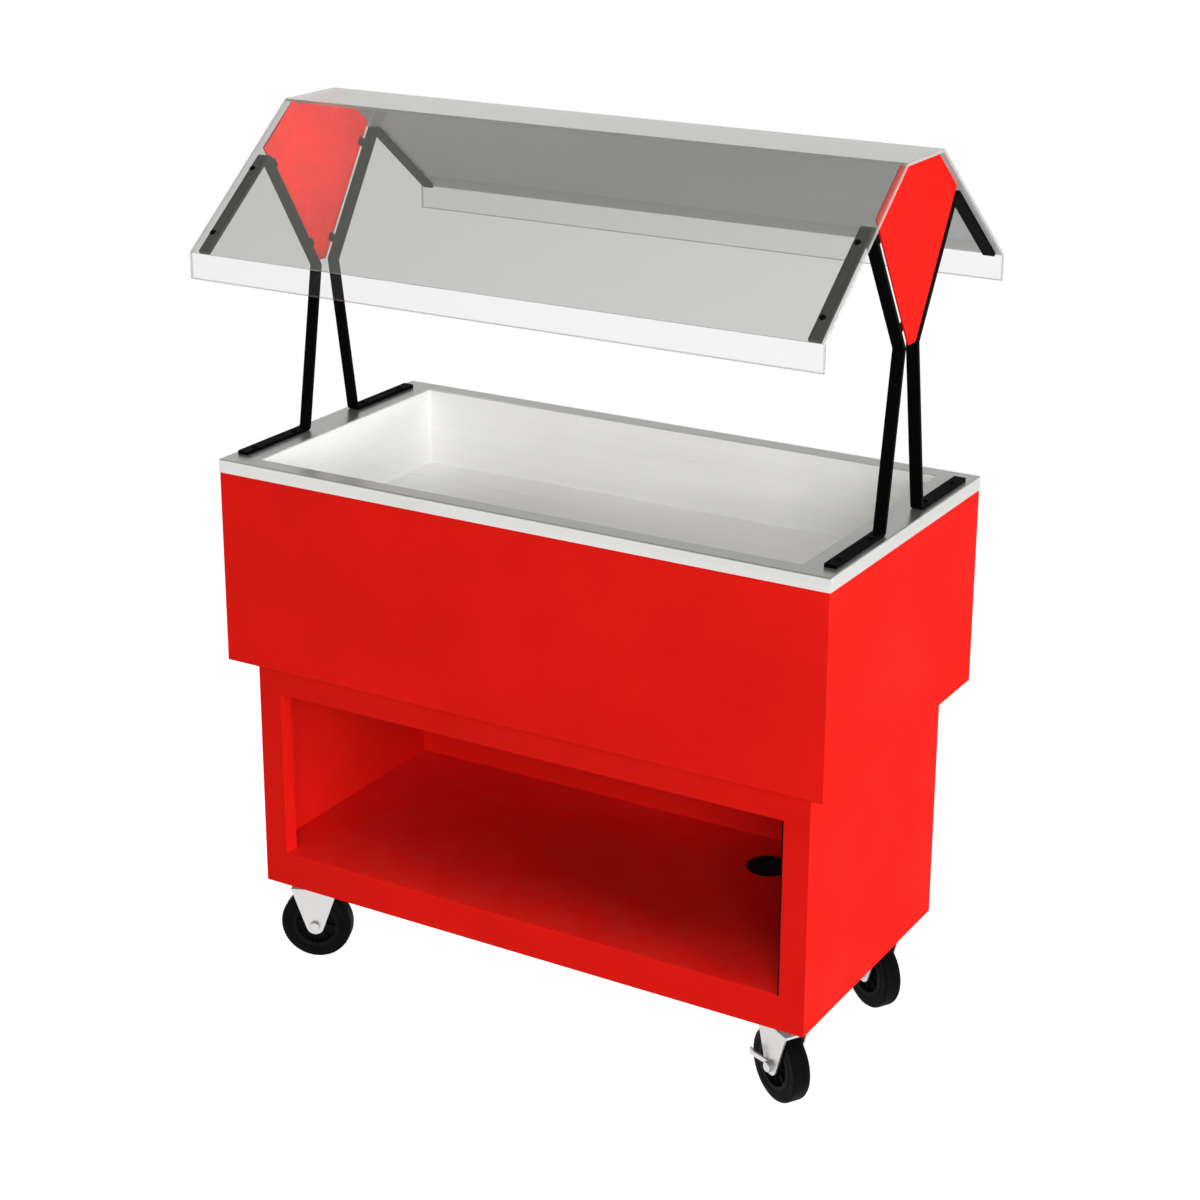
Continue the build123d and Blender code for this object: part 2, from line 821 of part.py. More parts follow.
def make_foot_nuts():
    """Nuts under the deck on the foot bolts."""
    nuts = []
    high = deck_top - deck_sheet
    for x, y in foot_bolt_places():
        nut = hex_post(x, y, high - foot_nut_height, high, 2 * foot_nut_radius)
        nuts.append(nut - post(x, y, high - foot_nut_height, high, screw_radius + thread_play))
    return Compound(children=nuts)


def caster_places():
    """Swivel axis of each caster, with the heading of its fork."""
    x = base_half_x - caster_inset_x
    y = base_half_y - caster_inset_y
    signs = {"front_left": (-1, -1), "front_right": (1, -1), "rear_left": (-1, 1), "rear_right": (1, 1)}
    return {name: (sx * x, sy * y, swivel_headings[name]) for name, (sx, sy) in signs.items()}


def plate_bolt_places():
    """Places of the four bolts in each caster plate."""
    spots = []
    for x, y, _ in caster_places().values():
        for side_x in (-1, 1):
            for side_y in (-1, 1):
                spots.append((x + side_x * plate_bolt_x / 2, y + side_y * plate_bolt_y / 2))
    return spots


def place_caster_piece(solid, name):
    """A caster piece, drawn with its swivel axis at the origin, set under its own corner."""
    x, y, heading = caster_places()[name]
    return Pos(x, y, 0) * Rot(0, 0, heading) * solid


def crown_levels():
    """Levels of the fork crown's underside, its top and the top of its race."""
    low = wheel_diameter + crown_gap
    return low, low + crown_sheet, low + crown_sheet + lower_race_height


def make_caster_plates():
    """Top plates with the upper race and the kingpin, one over each caster."""
    crown_low, _, race_high = crown_levels()
    under = base_bottom - plate_thickness
    plates = []
    for x, y, _ in caster_places().values():
        outline = Pos(x, y) * RectangleRounded(plate_length, plate_width, plate_corner)
        plate = along_z(outline, under, base_bottom)
        for bolt_x, bolt_y in plate_bolt_places():
            if math.hypot(bolt_x - x, bolt_y - y) < plate_length:
                plate -= post(bolt_x, bolt_y, under, base_bottom, caster_bolt_radius + screw_play)
        plate += post(x, y, race_high + race_gap, under, race_radius)
        head_top = crown_low - race_gap / 2
        plate += post(x, y, head_top, under, kingpin_radius)
        plate += post(x, y, head_top - kingpin_head_height, head_top, kingpin_head_radius)
        plates.append(plate)
    return Compound(children=plates)


def make_caster_bolts():
    """Hex bolts that hold the caster plates to the channels."""
    bolts = []
    under = base_bottom - plate_thickness
    for x, y in plate_bolt_places():
        head = hex_post(x, y, under - caster_bolt_head_height, under, caster_bolt_head_across)
        end = base_bottom + channel_sheet + caster_bolt_spare
        bolts.append(head + post(x, y, under, end, caster_bolt_radius))
    return Compound(children=bolts)


def axle_post(start, end, radius):
    """A cylinder on a wheel's axle, between two places across the fork."""
    centre = Pos(caster_trail, (start + end) / 2, wheel_diameter / 2)
    return centre * Rot(90, 0, 0) * Cylinder(radius, end - start)


def fork_faces():
    """Distances of a fork leg's inner and outer faces from the wheel's middle."""
    inner = wheel_width / 2 + fork_gap
    return inner, inner + fork_sheet


def make_fork():
    """Pressed fork: a crown on the kingpin and two tapered legs to the axle."""
    crown_low, crown_high, race_high = crown_levels()
    inner, outer = fork_faces()
    shoulders = caster_trail - fork_shoulder, caster_trail + fork_shoulder
    top_edge = Line((shoulders[0], crown_high), (shoulders[1], crown_high))
    foot = Pos(caster_trail, wheel_diameter / 2) * Circle(fork_foot_radius)
    leg = make_hull([*foot.edges(), top_edge])
    fork = slab((shoulders[0], -outer, crown_low), (shoulders[1], outer, crown_high))
    fork += post(0, 0, crown_low, crown_high, crown_radius)
    for low, high in ((-outer, -inner), (inner, outer)):
        fork += along_y(leg, low, high)
    fork += post(0, 0, crown_high, race_high, race_radius)
    fork -= post(0, 0, crown_low, race_high, kingpin_radius + running_play)
    return fork - axle_post(-outer, outer, axle_radius + running_play)


def make_axle(braked):
    """Axle with a round head on each side of the fork, longer where it carries a brake lever."""
    outer = fork_faces()[1]
    near = outer + (brake_thickness + 2 * brake_play if braked else 0)
    axle = axle_post(-near, outer, axle_radius)
    heads = [
        axle_post(-near - axle_head_height, -near, axle_head_radius),
        axle_post(outer, outer + axle_head_height, axle_head_radius),
    ]
    for rim in (heads[0].edges().sort_by(Axis.Y)[0], heads[1].edges().sort_by(Axis.Y)[-1]):
        axle += fillet(rim, axle_head_height * rounding_share)
    return axle


def wheel_ring(half_outline):
    """A ring turned about the axle from half of its section, given as radius and distance across."""
    outline = half_outline + [(radius, -across) for radius, across in reversed(half_outline)]
    points = [(caster_trail + radius, across) for radius, across in outline]
    face = Plane.XY.offset(wheel_diameter / 2) * make_face(Polyline(*points, close=True))
    return revolve(face, Axis((caster_trail, 0, wheel_diameter / 2), (0, 1, 0)))


def make_core():
    """Wheel core: a boss on the axle, a thin web and a rim under the tyre."""
    boss = wheel_width / 2 + fork_gap - boss_gap
    bore = axle_radius + running_play
    return wheel_ring(
        [
            (bore, boss),
            (core_boss_radius, boss),
            (core_boss_radius, core_web / 2),
            (core_radius - core_rim, core_web / 2),
            (core_radius - core_rim, wheel_width / 2),
            (core_radius, wheel_width / 2),
        ]
    )


def make_tyre():
    """Tyre on the core, with rounded shoulders."""
    radius = wheel_diameter / 2
    half = wheel_width / 2
    tyre = wheel_ring([(core_radius, half), (radius, half)])
    shoulders = [
        edge
        for edge in tyre.edges().filter_by(GeomType.CIRCLE)
        if abs(edge.radius - radius) < running_play
    ]
    return fillet(shoulders, tyre_shoulder)


def make_brake_lever():
    """Side brake lever: a round eye on the axle and a strap bent outwards to a foot tab."""
    outer = fork_faces()[1] + brake_play
    points = [
        (0, 0),
        (brake_straight, 0),
        (brake_reach - brake_foot, brake_out),
        (brake_reach, brake_out),
    ]
    strap = folded_face(points, brake_thickness, bend_radius)
    half = brake_width / 2
    lever = along_y(strap, -half, half)
    lever += post(0, 0, 0, brake_thickness, brake_eye_radius)
    lever -= post(0, 0, 0, brake_thickness, axle_radius + running_play)
    axis = Plane(
        origin=(caster_trail, -outer, wheel_diameter / 2),
        x_dir=(math.cos(math.radians(brake_lift_angle)), 0, math.sin(math.radians(brake_lift_angle))),
        z_dir=(0, -1, 0),
    )
    return axis * lever


def make_pieces():
    """Every node's solid, by name."""
    front_apron = make_front_apron()
    right_apron, left_apron = both_ends(make_end_apron())
    base_right, base_left = both_ends(make_base_end())
    rear_right, rear_left = both_ends(make_support())
    gable_right, gable_left = both_ends(make_gable())
    rear_shield = make_rear_shield()
    rear_lip = make_canopy_panel(4)
    pieces = {
        "deck_top": make_deck(),
        "cold_pan": make_cold_pan(),
        "pan_seal": make_pan_seal(),
        "pan_insulation": make_insulation(),
        "insulation_case": make_case(),
        "well_bearers": make_bearers(),
        "front_apron": front_apron,
        "rear_apron": mirror(front_apron, about=Plane.XZ),
        "right_apron": right_apron,
        "left_apron": left_apron,
        "base_right": base_right,
        "base_left": base_left,
        "base_back": make_base_back(),
        "base_front": make_base_front(),
        "bottom_shelf": make_shelf(),
        "shelf_grommet": make_grommet(),
        "caster_channels": make_channels(),
        "drain_body": make_drain_body(),
        "drain_nut": make_drain_nut(),
        "drain_strainer": make_strainer(),
        "valve_body": make_valve_body(),
        "valve_ball": make_valve_ball(),
        "valve_lever": make_valve_lever(),
        "hose_spigot": make_hose_spigot(),
        "support_rear_right": rear_right,
        "support_rear_left": rear_left,
        "support_front_right": mirror(rear_right, about=Plane.XZ),
        "support_front_left": mirror(rear_left, about=Plane.XZ),
        "foot_bolts": make_foot_bolts(),
        "foot_nuts": make_foot_nuts(),
        "gable_right": gable_right,
        "gable_left": gable_left,
        "gable_tabs": make_tabs(),
        "canopy_top": make_canopy_panel(2),
        "rear_shield": rear_shield,
        "front_shield": mirror(rear_shield, about=Plane.XZ),
        "rear_lip": rear_lip,
        "front_lip": mirror(rear_lip, about=Plane.XZ),
        "shield_screws": make_shield_screws(),
        "caster_plates": make_caster_plates(),
        "caster_bolts": make_caster_bolts(),
    }
    fork = make_fork()
    core = make_core()
    tyre = make_tyre()
    for name in caster_places():
        braked = name in braked_casters
        pieces[f"fork_{name}"] = place_caster_piece(fork, name)
        pieces[f"axle_{name}"] = place_caster_piece(make_axle(braked), name)
        pieces[f"wheel_core_{name}"] = place_caster_piece(core, name)
        pieces[f"tyre_{name}"] = place_caster_piece(tyre, name)
        if braked:
            pieces[f"brake_lever_{name}"] = place_caster_piece(make_brake_lever(), name)
    return pieces


if __name__ == "__main__":
    os.makedirs("parts", exist_ok=True)
    for node, solid in make_pieces().items():
        export_step(solid, f"parts/{node}.step")
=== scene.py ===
import json
import logging
import math
from dataclasses import dataclass, fields
from enum import Enum
from typing import ClassVar

import bmesh
import bpy
from mathutils import Matrix, Vector


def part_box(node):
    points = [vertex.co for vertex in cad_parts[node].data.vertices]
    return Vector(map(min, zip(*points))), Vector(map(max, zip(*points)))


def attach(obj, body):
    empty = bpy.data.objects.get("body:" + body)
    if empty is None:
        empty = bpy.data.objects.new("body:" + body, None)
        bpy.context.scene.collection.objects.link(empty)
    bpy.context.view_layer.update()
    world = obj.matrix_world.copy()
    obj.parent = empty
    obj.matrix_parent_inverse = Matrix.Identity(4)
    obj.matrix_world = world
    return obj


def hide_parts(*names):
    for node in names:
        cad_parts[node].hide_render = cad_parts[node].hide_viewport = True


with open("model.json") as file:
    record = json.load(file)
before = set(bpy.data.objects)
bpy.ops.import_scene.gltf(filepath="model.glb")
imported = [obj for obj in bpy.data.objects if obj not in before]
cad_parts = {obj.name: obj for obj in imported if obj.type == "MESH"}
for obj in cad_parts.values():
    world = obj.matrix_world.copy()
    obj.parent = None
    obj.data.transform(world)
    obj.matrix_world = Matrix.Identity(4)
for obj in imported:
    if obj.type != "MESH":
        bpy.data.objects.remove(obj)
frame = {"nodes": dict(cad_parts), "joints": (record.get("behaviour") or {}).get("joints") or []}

logging.basicConfig(level=logging.INFO, format="%(name)s: %(message)s")
log = logging.getLogger("buffet_table")

Colour = tuple[float, float, float]
Point = tuple[float, float, float]
Pair = tuple[float, float]
# What a node's input takes: a wire, a list of wires or a value. All lengths are in metres.
Operand = object

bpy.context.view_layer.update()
TABLE_BODY = "table"
CORNERS = ("front_left", "front_right", "rear_left", "rear_right")
BRAKED_CORNERS = ("front_left", "front_right")
MERGE_DISTANCE = 1e-6
SHARP_ANGLE = math.radians(35)
PHOTO_SIDE = 1200


def enter(name: str, data: bpy.types.ID) -> bpy.types.Object:
    """Puts a new object into the scene.

    Args:
        name: The object's name.
        data: Its mesh, lamp or camera.

    Returns:
        The object.
    """
    made = bpy.data.objects.new(name, data)
    bpy.context.scene.collection.objects.link(made)
    return made


class Detail(Enum):
    """Octaves of finer noise on a pattern."""

    PLAIN = 2.0
    GRAIN = 3.0
    CLOUD = 4.0
    PATCH = 5.0


class Wire:
    """An output socket of a node tree, on which arithmetic adds Math nodes."""

    def __init__(self, bench: "Bench", socket: bpy.types.NodeSocket) -> None:
        """Holds the socket and the bench that its tree belongs to."""
        self.bench = bench
        self.socket = socket

    def maths(self, operation: str, *values: Operand) -> "Wire":
        """The result of a Math node with this operation and these values, in order."""
        return self.bench.add("ShaderNodeMath", {"operation": operation}, dict(enumerate(values)))

    def __add__(self, other: Operand) -> "Wire":
        """This plus other."""
        return self.maths("ADD", self, other)

    def __radd__(self, other: Operand) -> "Wire":
        """Other plus this."""
        return self.maths("ADD", other, self)

    def __sub__(self, other: Operand) -> "Wire":
        """This less other."""
        return self.maths("SUBTRACT", self, other)

    def __rsub__(self, other: Operand) -> "Wire":
        """Other less this."""
        return self.maths("SUBTRACT", other, self)

    def __mul__(self, other: Operand) -> "Wire":
        """This times other."""
        return self.maths("MULTIPLY", self, other)

    def __rmul__(self, other: Operand) -> "Wire":
        """Other times this."""
        return self.maths("MULTIPLY", other, self)

    def __truediv__(self, other: Operand) -> "Wire":
        """This over other."""
        return self.maths("DIVIDE", self, other)

    def __rtruediv__(self, other: Operand) -> "Wire":
        """Other over this."""
        return self.maths("DIVIDE", other, self)

    def size(self) -> "Wire":
        """This without its sign."""
        return self.maths("ABSOLUTE", self)

    def most(self, other: Operand) -> "Wire":
        """The larger of this and other."""
        return self.maths("MAXIMUM", self, other)

    def between(self, low: float, high: float) -> "Wire":
        """Runs from low to high as this goes from 0 to 1."""
        return low + (high - low) * self

    def rise(self, low: float, high: float) -> "Wire":
        """Goes smoothly from 0 to 1.

        Args:
            low: The value that gives 0.
            high: The value that gives 1.

        Returns:
            The smooth step.
        """
        settings = {"interpolation_type": "SMOOTHSTEP"}
        sockets = {"Value": self, "From Min": low, "From Max": high}
        return self.bench.add("ShaderNodeMapRange", settings, sockets, "Result")


class Bench:
    """A node tree, and the one way in which nodes are put on it."""

    def __init__(self, tree: bpy.types.NodeTree) -> None:
        """Takes a tree and empties it."""
        tree.nodes.clear()
        self.tree = tree

    @staticmethod
    def pick(sockets: list[bpy.types.NodeSocket], key: str | int) -> bpy.types.NodeSocket:
        """Finds a socket.

        Args:
            sockets: A node's inputs or outputs.
            key: The socket's place, or its name among those in use.

        Returns:
            The socket.
        """
        if isinstance(key, int):
            return sockets[key]
        return next(socket for socket in sockets if socket.name == key and socket.enabled)

    def add(
        self,
        kind: str,
        settings: dict[str, object] | None = None,
        sockets: dict[str | int, Operand] | None = None,
        out: str | int = 0,
    ) -> Wire:
        """Adds a node.

        Args:
            kind: The node's type.
            settings: Its own settings, which are set first; switch_items is a number of items.
            sockets: Values, wires or lists of wires for its inputs, by name or place.
            out: The output to hand on.

        Returns:
            That output, or for an end node its first input.
        """
        node = self.tree.nodes.new(kind)
        for name, value in (settings or {}).items():
            if name == "switch_items":
                while len(node.index_switch_items) < value:
                    node.index_switch_items.new()
            else:
                setattr(node, name, value)
        for key, value in (sockets or {}).items():
            socket = self.pick(node.inputs, key)
            for item in value if isinstance(value, list) else [value]:
                if isinstance(item, Wire):
                    self.tree.links.new(item.socket, socket)
                else:
                    socket.default_value = item
        return Wire(self, self.pick(node.outputs or node.inputs, out))

    def outputs(self, wire: Wire) -> dict[str, Wire]:
        """All the outputs of a wire's node, by name."""
        return {socket.name: Wire(self, socket) for socket in wire.socket.node.outputs}

    def split(self, vector: Wire) -> list[Wire]:
        """The X, Y and Z of a vector."""
        parts = self.add("ShaderNodeSeparateXYZ", {}, {"Vector": vector})
        return list(self.outputs(parts).values())

    def join(self, x: Operand, y: Operand, z: Operand) -> Wire:
        """A vector from its X, Y and Z."""
        return self.add("ShaderNodeCombineXYZ", {}, {"X": x, "Y": y, "Z": z})

    def place(self) -> Wire:
        """Where a point is on its piece, in metres."""
        return self.add("ShaderNodeTexCoord", {}, {}, "Object")

    def facing(self) -> list[Wire]:
        """The X, Y and Z of the surface's own direction."""
        return self.split(self.add("ShaderNodeTexCoord", {}, {}, "Normal"))

    def noise(self, pitch: float | Point, detail: Detail = Detail.PLAIN, spread: float = 0.2) -> Wire:
        """Soft noise over the piece, from 0 to 1.

        Args:
            pitch: Size of a patch in metres, the same all round or along X, Y and Z.
            detail: How much finer noise lies on it.
            spread: How far from the middle it reaches 0 and 1; a larger one is fainter.

        Returns:
            The noise.
        """
        sizes = pitch if isinstance(pitch, tuple) else (pitch,) * 3
        stretch = {"Vector": self.place(), "Scale": tuple(1 / size for size in sizes)}
        stretched = self.add("ShaderNodeMapping", {}, stretch)
        sockets = {"Vector": stretched, "Scale": 1.0, "Detail": detail.value}
        return self.add("ShaderNodeTexNoise", {}, sockets, "Fac").rise(0.5 - spread, 0.5 + spread)

    def cells(self, pitch: float, feature: str, out: str) -> Wire:
        """Cells of one pitch over the piece: an output of a Voronoi node that finds this feature."""
        sockets = {"Vector": self.place(), "Scale": 1 / pitch}
        return self.add("ShaderNodeTexVoronoi", {"feature": feature}, sockets, out)

    def blend(self, share: Operand, first: Operand, second: Operand) -> Wire:
        """Mixes two colours.

        Args:
            share: How much of the second there is.
            first: A colour or wire.
            second: A colour or wire.

        Returns:
            The mixed colour.
        """
        ends = [end if isinstance(end, Wire) else (*end, 1.0) for end in (first, second)]
        sockets = {"Factor": share, "A": ends[0], "B": ends[1]}
        return self.add("ShaderNodeMix", {"data_type": "RGBA"}, sockets, "Result")

    def bump(self, height: Wire, strength: float, depth: float) -> Wire:
        """The normal of a relief, from its height of 0 to 1, its strength, and the depth of 1."""
        sockets = {"Strength": strength, "Distance": depth, "Height": height}
        return self.add("ShaderNodeBump", {}, sockets, "Normal")


@dataclass(frozen=True)
class Finish:
    """A finish: its material's name, its main colour, and its roughness where it is least and most."""

    name: str
    colour: Colour
    smooth: float
    rough: float

    def toned(self, share: float) -> Colour:
        """The main colour made darker, or lighter where share is over 1."""
        return tuple(min(1.0, part * share) for part in self.colour)

    def surface(self, bench: Bench) -> dict[str, Operand]:
        """The shader's inputs for this finish."""
        raise NotImplementedError

    def material(self) -> bpy.types.Material:
        """Makes the finish's material, once.

        Returns:
            The material.
        """
        made = bpy.data.materials.get(self.name)
        if made is None:
            made = bpy.data.materials.new(self.name)
            made.use_nodes = True
            bench = Bench(made.node_tree)
            shader = bench.add("ShaderNodeBsdfPrincipled", {}, self.surface(bench), "BSDF")
            bench.add("ShaderNodeOutputMaterial", {}, {"Surface": shader})
        return made


@dataclass(frozen=True)
class BrushedSteel(Finish):
    """Sheet stainless with a brushed grain along each face."""

    smooth: float = 0.24
    rough: float = 0.40
    metal: float = 0.88
    shade: float = 0.80
    line_pitch: float = 0.0011
    line_length: float = 0.22
    streak_pitch: float = 0.011
    streak_length: float = 0.7
    cloud_pitch: float = 0.30
    line_share: float = 0.3
    streak_share: float = 0.4
    grain_spread: float = 0.4
    end_face: Pair = (0.6, 0.8)
    relief: float = 0.12
    depth: float = 0.00008

    def grain(self, bench: Bench, pitch: float, length: float) -> Wire:
        """Lines along X, or along Y on the end faces.

        Args:
            bench: The material's bench.
            pitch: Distance between lines.
            length: Length of a line.

        Returns:
            The lines, 0 to 1.
        """
        along = bench.noise((length, pitch, pitch), Detail.GRAIN, self.grain_spread)
        across = bench.noise((pitch, length, pitch), Detail.GRAIN, self.grain_spread)
        end_face = bench.facing()[0].size().rise(*self.end_face)
        return along + (across - along) * end_face

    def surface(self, bench: Bench) -> dict[str, Operand]:
        """Grain lines, longer streaks and faint clouding of the sheet.

        Args:
            bench: The material's bench.

        Returns:
            The shader's inputs.
        """
        lines = self.grain(bench, self.line_pitch, self.line_length)
        streaks = self.grain(bench, self.streak_pitch, self.streak_length)
        cloud = bench.noise(self.cloud_pitch)
        tone = cloud + (lines - cloud) * self.line_share + (streaks - cloud) * self.streak_share
        return {
            "Base Color": bench.blend(tone, self.toned(self.shade), self.colour),
            "Metallic": self.metal,
            "Roughness": tone.between(self.smooth, self.rough),
            "Normal": bench.bump(lines, self.relief, self.depth),
        }


@dataclass(frozen=True)
class PowderCoat(Finish):
    """Baked powder paint with a fine orange peel, and dust where it lies flat."""

    smooth: float = 0.40
    rough: float = 0.52
    sheen: float = 0.01
    cloud_pitch: float = 0.16
    cloud_tone: float = 0.04
    flat_face: Pair = (0.7, 0.95)
    dust: Colour = (0.30, 0.24, 0.22)
    dust_pitch: float = 0.05
    dust_share: float = 0.035
    dust_dulling: float = 0.1
    peel_pitch: float = 0.0024
    relief: float = 0.10
    depth: float = 0.00012

    def surface(self, bench: Bench) -> dict[str, Operand]:
        """Peel, slow changes of tone and gloss, and a little dust.

        Args:
            bench: The material's bench.

        Returns:
            The shader's inputs.
        """
        peel = bench.noise(self.peel_pitch)
        cloud = bench.noise(self.cloud_pitch, Detail.CLOUD)
        settled = bench.facing()[2].rise(*self.flat_face) * bench.noise(self.dust_pitch, Detail.PATCH)
        paint = bench.blend(cloud, self.toned(1 - self.cloud_tone), self.toned(1 + self.cloud_tone))
        return {
            "Base Color": bench.blend(settled * self.dust_share, paint, self.dust),
            "Specular IOR Level": self.sheen,
            "Roughness": cloud.between(self.smooth, self.rough) + settled * self.dust_dulling,
            "Normal": bench.bump(peel, self.relief, self.depth),
        }


@dataclass(frozen=True)
class AcrylicSheet(Finish):
    """Acrylic sheet: see-through, denser at a slant, with a painted band of highlight and shade along its
    sawn edges.
    """

    smooth: float = 0.04
    rough: float = 0.12
    smear_pitch: Point = (0.20, 0.06, 0.06)
    opacity: float = 0.225
    slant: float = 1.1
    gloss: float = 0.4
    bending: float = 1.49
    # Colour of the painted highlight-and-shade band along the sawn edges, which also gets more opacity than
    # the sheet.
    edge: Colour = (0.55, 0.56, 0.53)
    edge_opacity: float = 0.55
    edge_width: float = 0.004
    half_length: float = 0.5635
    foot: float = 0.0

    def surface(self, bench: Bench) -> dict[str, Operand]:
        """Alpha by the angle, a painted highlight-and-shade band along the sawn edges, and faint smears in
        the gloss.

        Args:
            bench: The material's bench.

        Returns:
            The shader's inputs.
        """
        across, _, height = bench.split(bench.place())
        # Painted highlight and shade: a thin band at the sheet's ends, and at its foot where one is given,
        # gets its own colour and opacity.
        ends = across.size().rise(self.half_length - self.edge_width, self.half_length)
        edge_glint_band = ends.most(1 - height.rise(self.foot, self.foot + self.edge_width))
        glance = bench.add("ShaderNodeLayerWeight", {}, {}, "Facing")
        clear = (1 - self.opacity) * (1 - glance * glance * self.slant)
        smear = bench.noise(self.smear_pitch, Detail.CLOUD)
        return {
            "Base Color": bench.blend(edge_glint_band, self.colour, self.edge),
            "Roughness": smear.between(self.smooth, self.rough),
            "IOR": self.bending,
            "Specular IOR Level": self.gloss,
            "Alpha": (1 - clear).most(edge_glint_band * self.edge_opacity),
        }


@dataclass(frozen=True)
class PlatedSteel(Finish):
    """Plated steel, with the crystal patches of its zinc."""

    smooth: float = 0.30
    rough: float = 0.48
    metal: float = 0.8
    patch: float = 0.006
    patch_share: float = 0.6
    film_pitch: float = 0.03
    contrast: float = 0.22
    relief: float = 0.06
    depth: float = 0.0001

    def surface(self, bench: Bench) -> dict[str, Operand]:
        """Patches of slightly different tone and gloss, and a dull film over them.

        Args:
            bench: The material's bench.

        Returns:
            The shader's inputs.
        """
        patch = bench.split(bench.cells(self.patch, "F1", "Color"))[0]
        film = bench.noise(self.film_pitch, Detail.CLOUD)
        tone = patch * self.patch_share + film * (1 - self.patch_share)
        return {
            "Base Color": bench.blend(tone, self.toned(1 - self.contrast), self.colour),
            "Metallic": self.metal,
            "Roughness": film.between(self.smooth, self.rough),
            "Normal": bench.bump(tone, self.relief, self.depth),
        }


@dataclass(frozen=True)
class Moulded(Finish):
    """Moulded rubber or plastic with a fine pebble, dulled by dust and handling."""

    smooth: float = 0.45
    rough: float = 0.65
    sheen: float = 0.3
    dust: Colour = (0.20, 0.19, 0.18)
    dust_pitch: float = 0.03
    dust_share: float = 0.06
    pebble: float = 0.0012
    relief: float = 0.25
    depth: float = 0.00012

    def surface(self, bench: Bench) -> dict[str, Operand]:
        """Pebble in the relief, dust in patches.

        Args:
            bench: The material's bench.

        Returns:
            The shader's inputs.
        """
        pebble = bench.cells(self.pebble, "SMOOTH_F1", "Distance")
        patches = bench.noise(self.dust_pitch, Detail.PATCH)
        return {
            "Base Color": bench.blend(patches * self.dust_share, self.colour, self.dust),
            "Specular IOR Level": self.sheen,
            "Roughness": patches.between(self.smooth, self.rough),
            "Normal": bench.bump(pebble, self.relief, self.depth),
        }


@dataclass(frozen=True)
class CastBrass(Finish):
    """Cast brass, tarnished in patches."""

    smooth: float = 0.28
    rough: float = 0.53
    metal: float = 1.0
    tarnish: Colour = (0.22, 0.13, 0.05)
    tarnish_pitch: float = 0.012
    tarnish_share: float = 0.5
    grain_pitch: float = 0.0008
    relief: float = 0.15
    depth: float = 0.0001

    def surface(self, bench: Bench) -> dict[str, Operand]:
        """Tarnish in patches over a faint casting grain.

        Args:
            bench: The material's bench.

        Returns:
            The shader's inputs.
        """
        patches = bench.noise(self.tarnish_pitch, Detail.PATCH)
        grain = bench.noise(self.grain_pitch)
        return {
            "Base Color": bench.blend(patches * self.tarnish_share, self.colour, self.tarnish),
            "Metallic": self.metal,
            "Roughness": patches.between(self.smooth, self.rough),
            "Normal": bench.bump(grain, self.relief, self.depth),
        }


@dataclass(frozen=True)
class BlownFoam(Finish):
    """Foamed-in insulation with open cells at its skin."""

    smooth: float = 0.8
    rough: float = 0.95
    sheen: float = 0.1
    aged_pitch: float = 0.08
    aged_tone: float = 0.72
    cell: float = 0.003
    relief: float = 0.5
    depth: float = 0.0006

    def surface(self, bench: Bench) -> dict[str, Operand]:
        """Cells in the relief, and browner patches where the skin has aged.

        Args:
            bench: The material's bench.

        Returns:
            The shader's inputs.
        """
        cell = bench.cells(self.cell, "F1", "Distance")
        aged = bench.noise(self.aged_pitch, Detail.CLOUD)
        return {
            "Base Color": bench.blend(aged, self.colour, self.toned(self.aged_tone)),
            "Specular IOR Level": self.sheen,
            "Roughness": aged.between(self.smooth, self.rough),
            "Normal": bench.bump(cell, self.relief, self.depth),
        }


STAINLESS = BrushedSteel("brushed_stainless", (0.80, 0.80, 0.775))
# Painted light: a lighter, almost matt copy of the stainless, so that the well shows brighter than the deck
# around it.
PAN_STEEL_PAINTED_LIGHT = BrushedSteel(
    "pan_steel_with_painted_light",
    (0.955, 0.955, 0.925),
    metal=0.04,
    shade=0.90,
    line_pitch=0.002,
    streak_pitch=0.008,
    line_share=0.35,
    streak_share=0.35,
    relief=0.02,
)
RED_PAINT = PowderCoat("red_powder_coat", (0.80, 0.0125, 0.0078))
BLACK_PAINT = PowderCoat("black_powder_coat", (0.002, 0.002, 0.002), dust_share=0.005)
BLACK_SCREW = PowderCoat("black_screw_finish", (0.003, 0.003, 0.003), sheen=0.03, peel_pitch=0.0008)
SMOKE = AcrylicSheet("smoke_acrylic_sheet", (0.200, 0.203, 0.180))
# Painted light: a nearly clear copy of the smoke acrylic for the lips, so that they show lighter than the
# slopes of the same sheet; its band at the foot is a painted grey outline.
LIP_ACRYLIC_PAINTED_LIGHT = AcrylicSheet(
    "acrylic_with_painted_lip_light",
    (0.12, 0.12, 0.115),
    opacity=0.055,
    slant=0.3,
    gloss=0.1,
    edge=(0.16, 0.16, 0.15),
    edge_opacity=0.4,
    edge_width=0.0026,
    foot=1.2578,
)
# Painted reflection: a paler, denser copy of the smoke acrylic for the canopy top, standing for the sheen
# that the top sheet shows at a low view.
TOP_ACRYLIC_PAINTED_SHEEN = AcrylicSheet("acrylic_with_painted_sheen", (0.68, 0.69, 0.65), opacity=0.60, slant=0.5)
GALVANISED = PlatedSteel("galvanised_sheet", (0.55, 0.56, 0.57), patch=0.014, contrast=0.35)
ZINC = PlatedSteel("zinc_plate", (0.54, 0.56, 0.56), patch=0.004)
FOAM = BlownFoam("insulating_foam", (0.80, 0.70, 0.45))
SEALANT = Moulded("grey_seal", (0.50, 0.50, 0.48), depth=0.00004)
BLACK_RUBBER = Moulded("grommet_rubber", (0.003, 0.003, 0.003), sheen=0.03, dust_share=0.004)
TYRE = Moulded("tyre_rubber", (0.003, 0.003, 0.0032), sheen=0.04, dust_share=0.008)
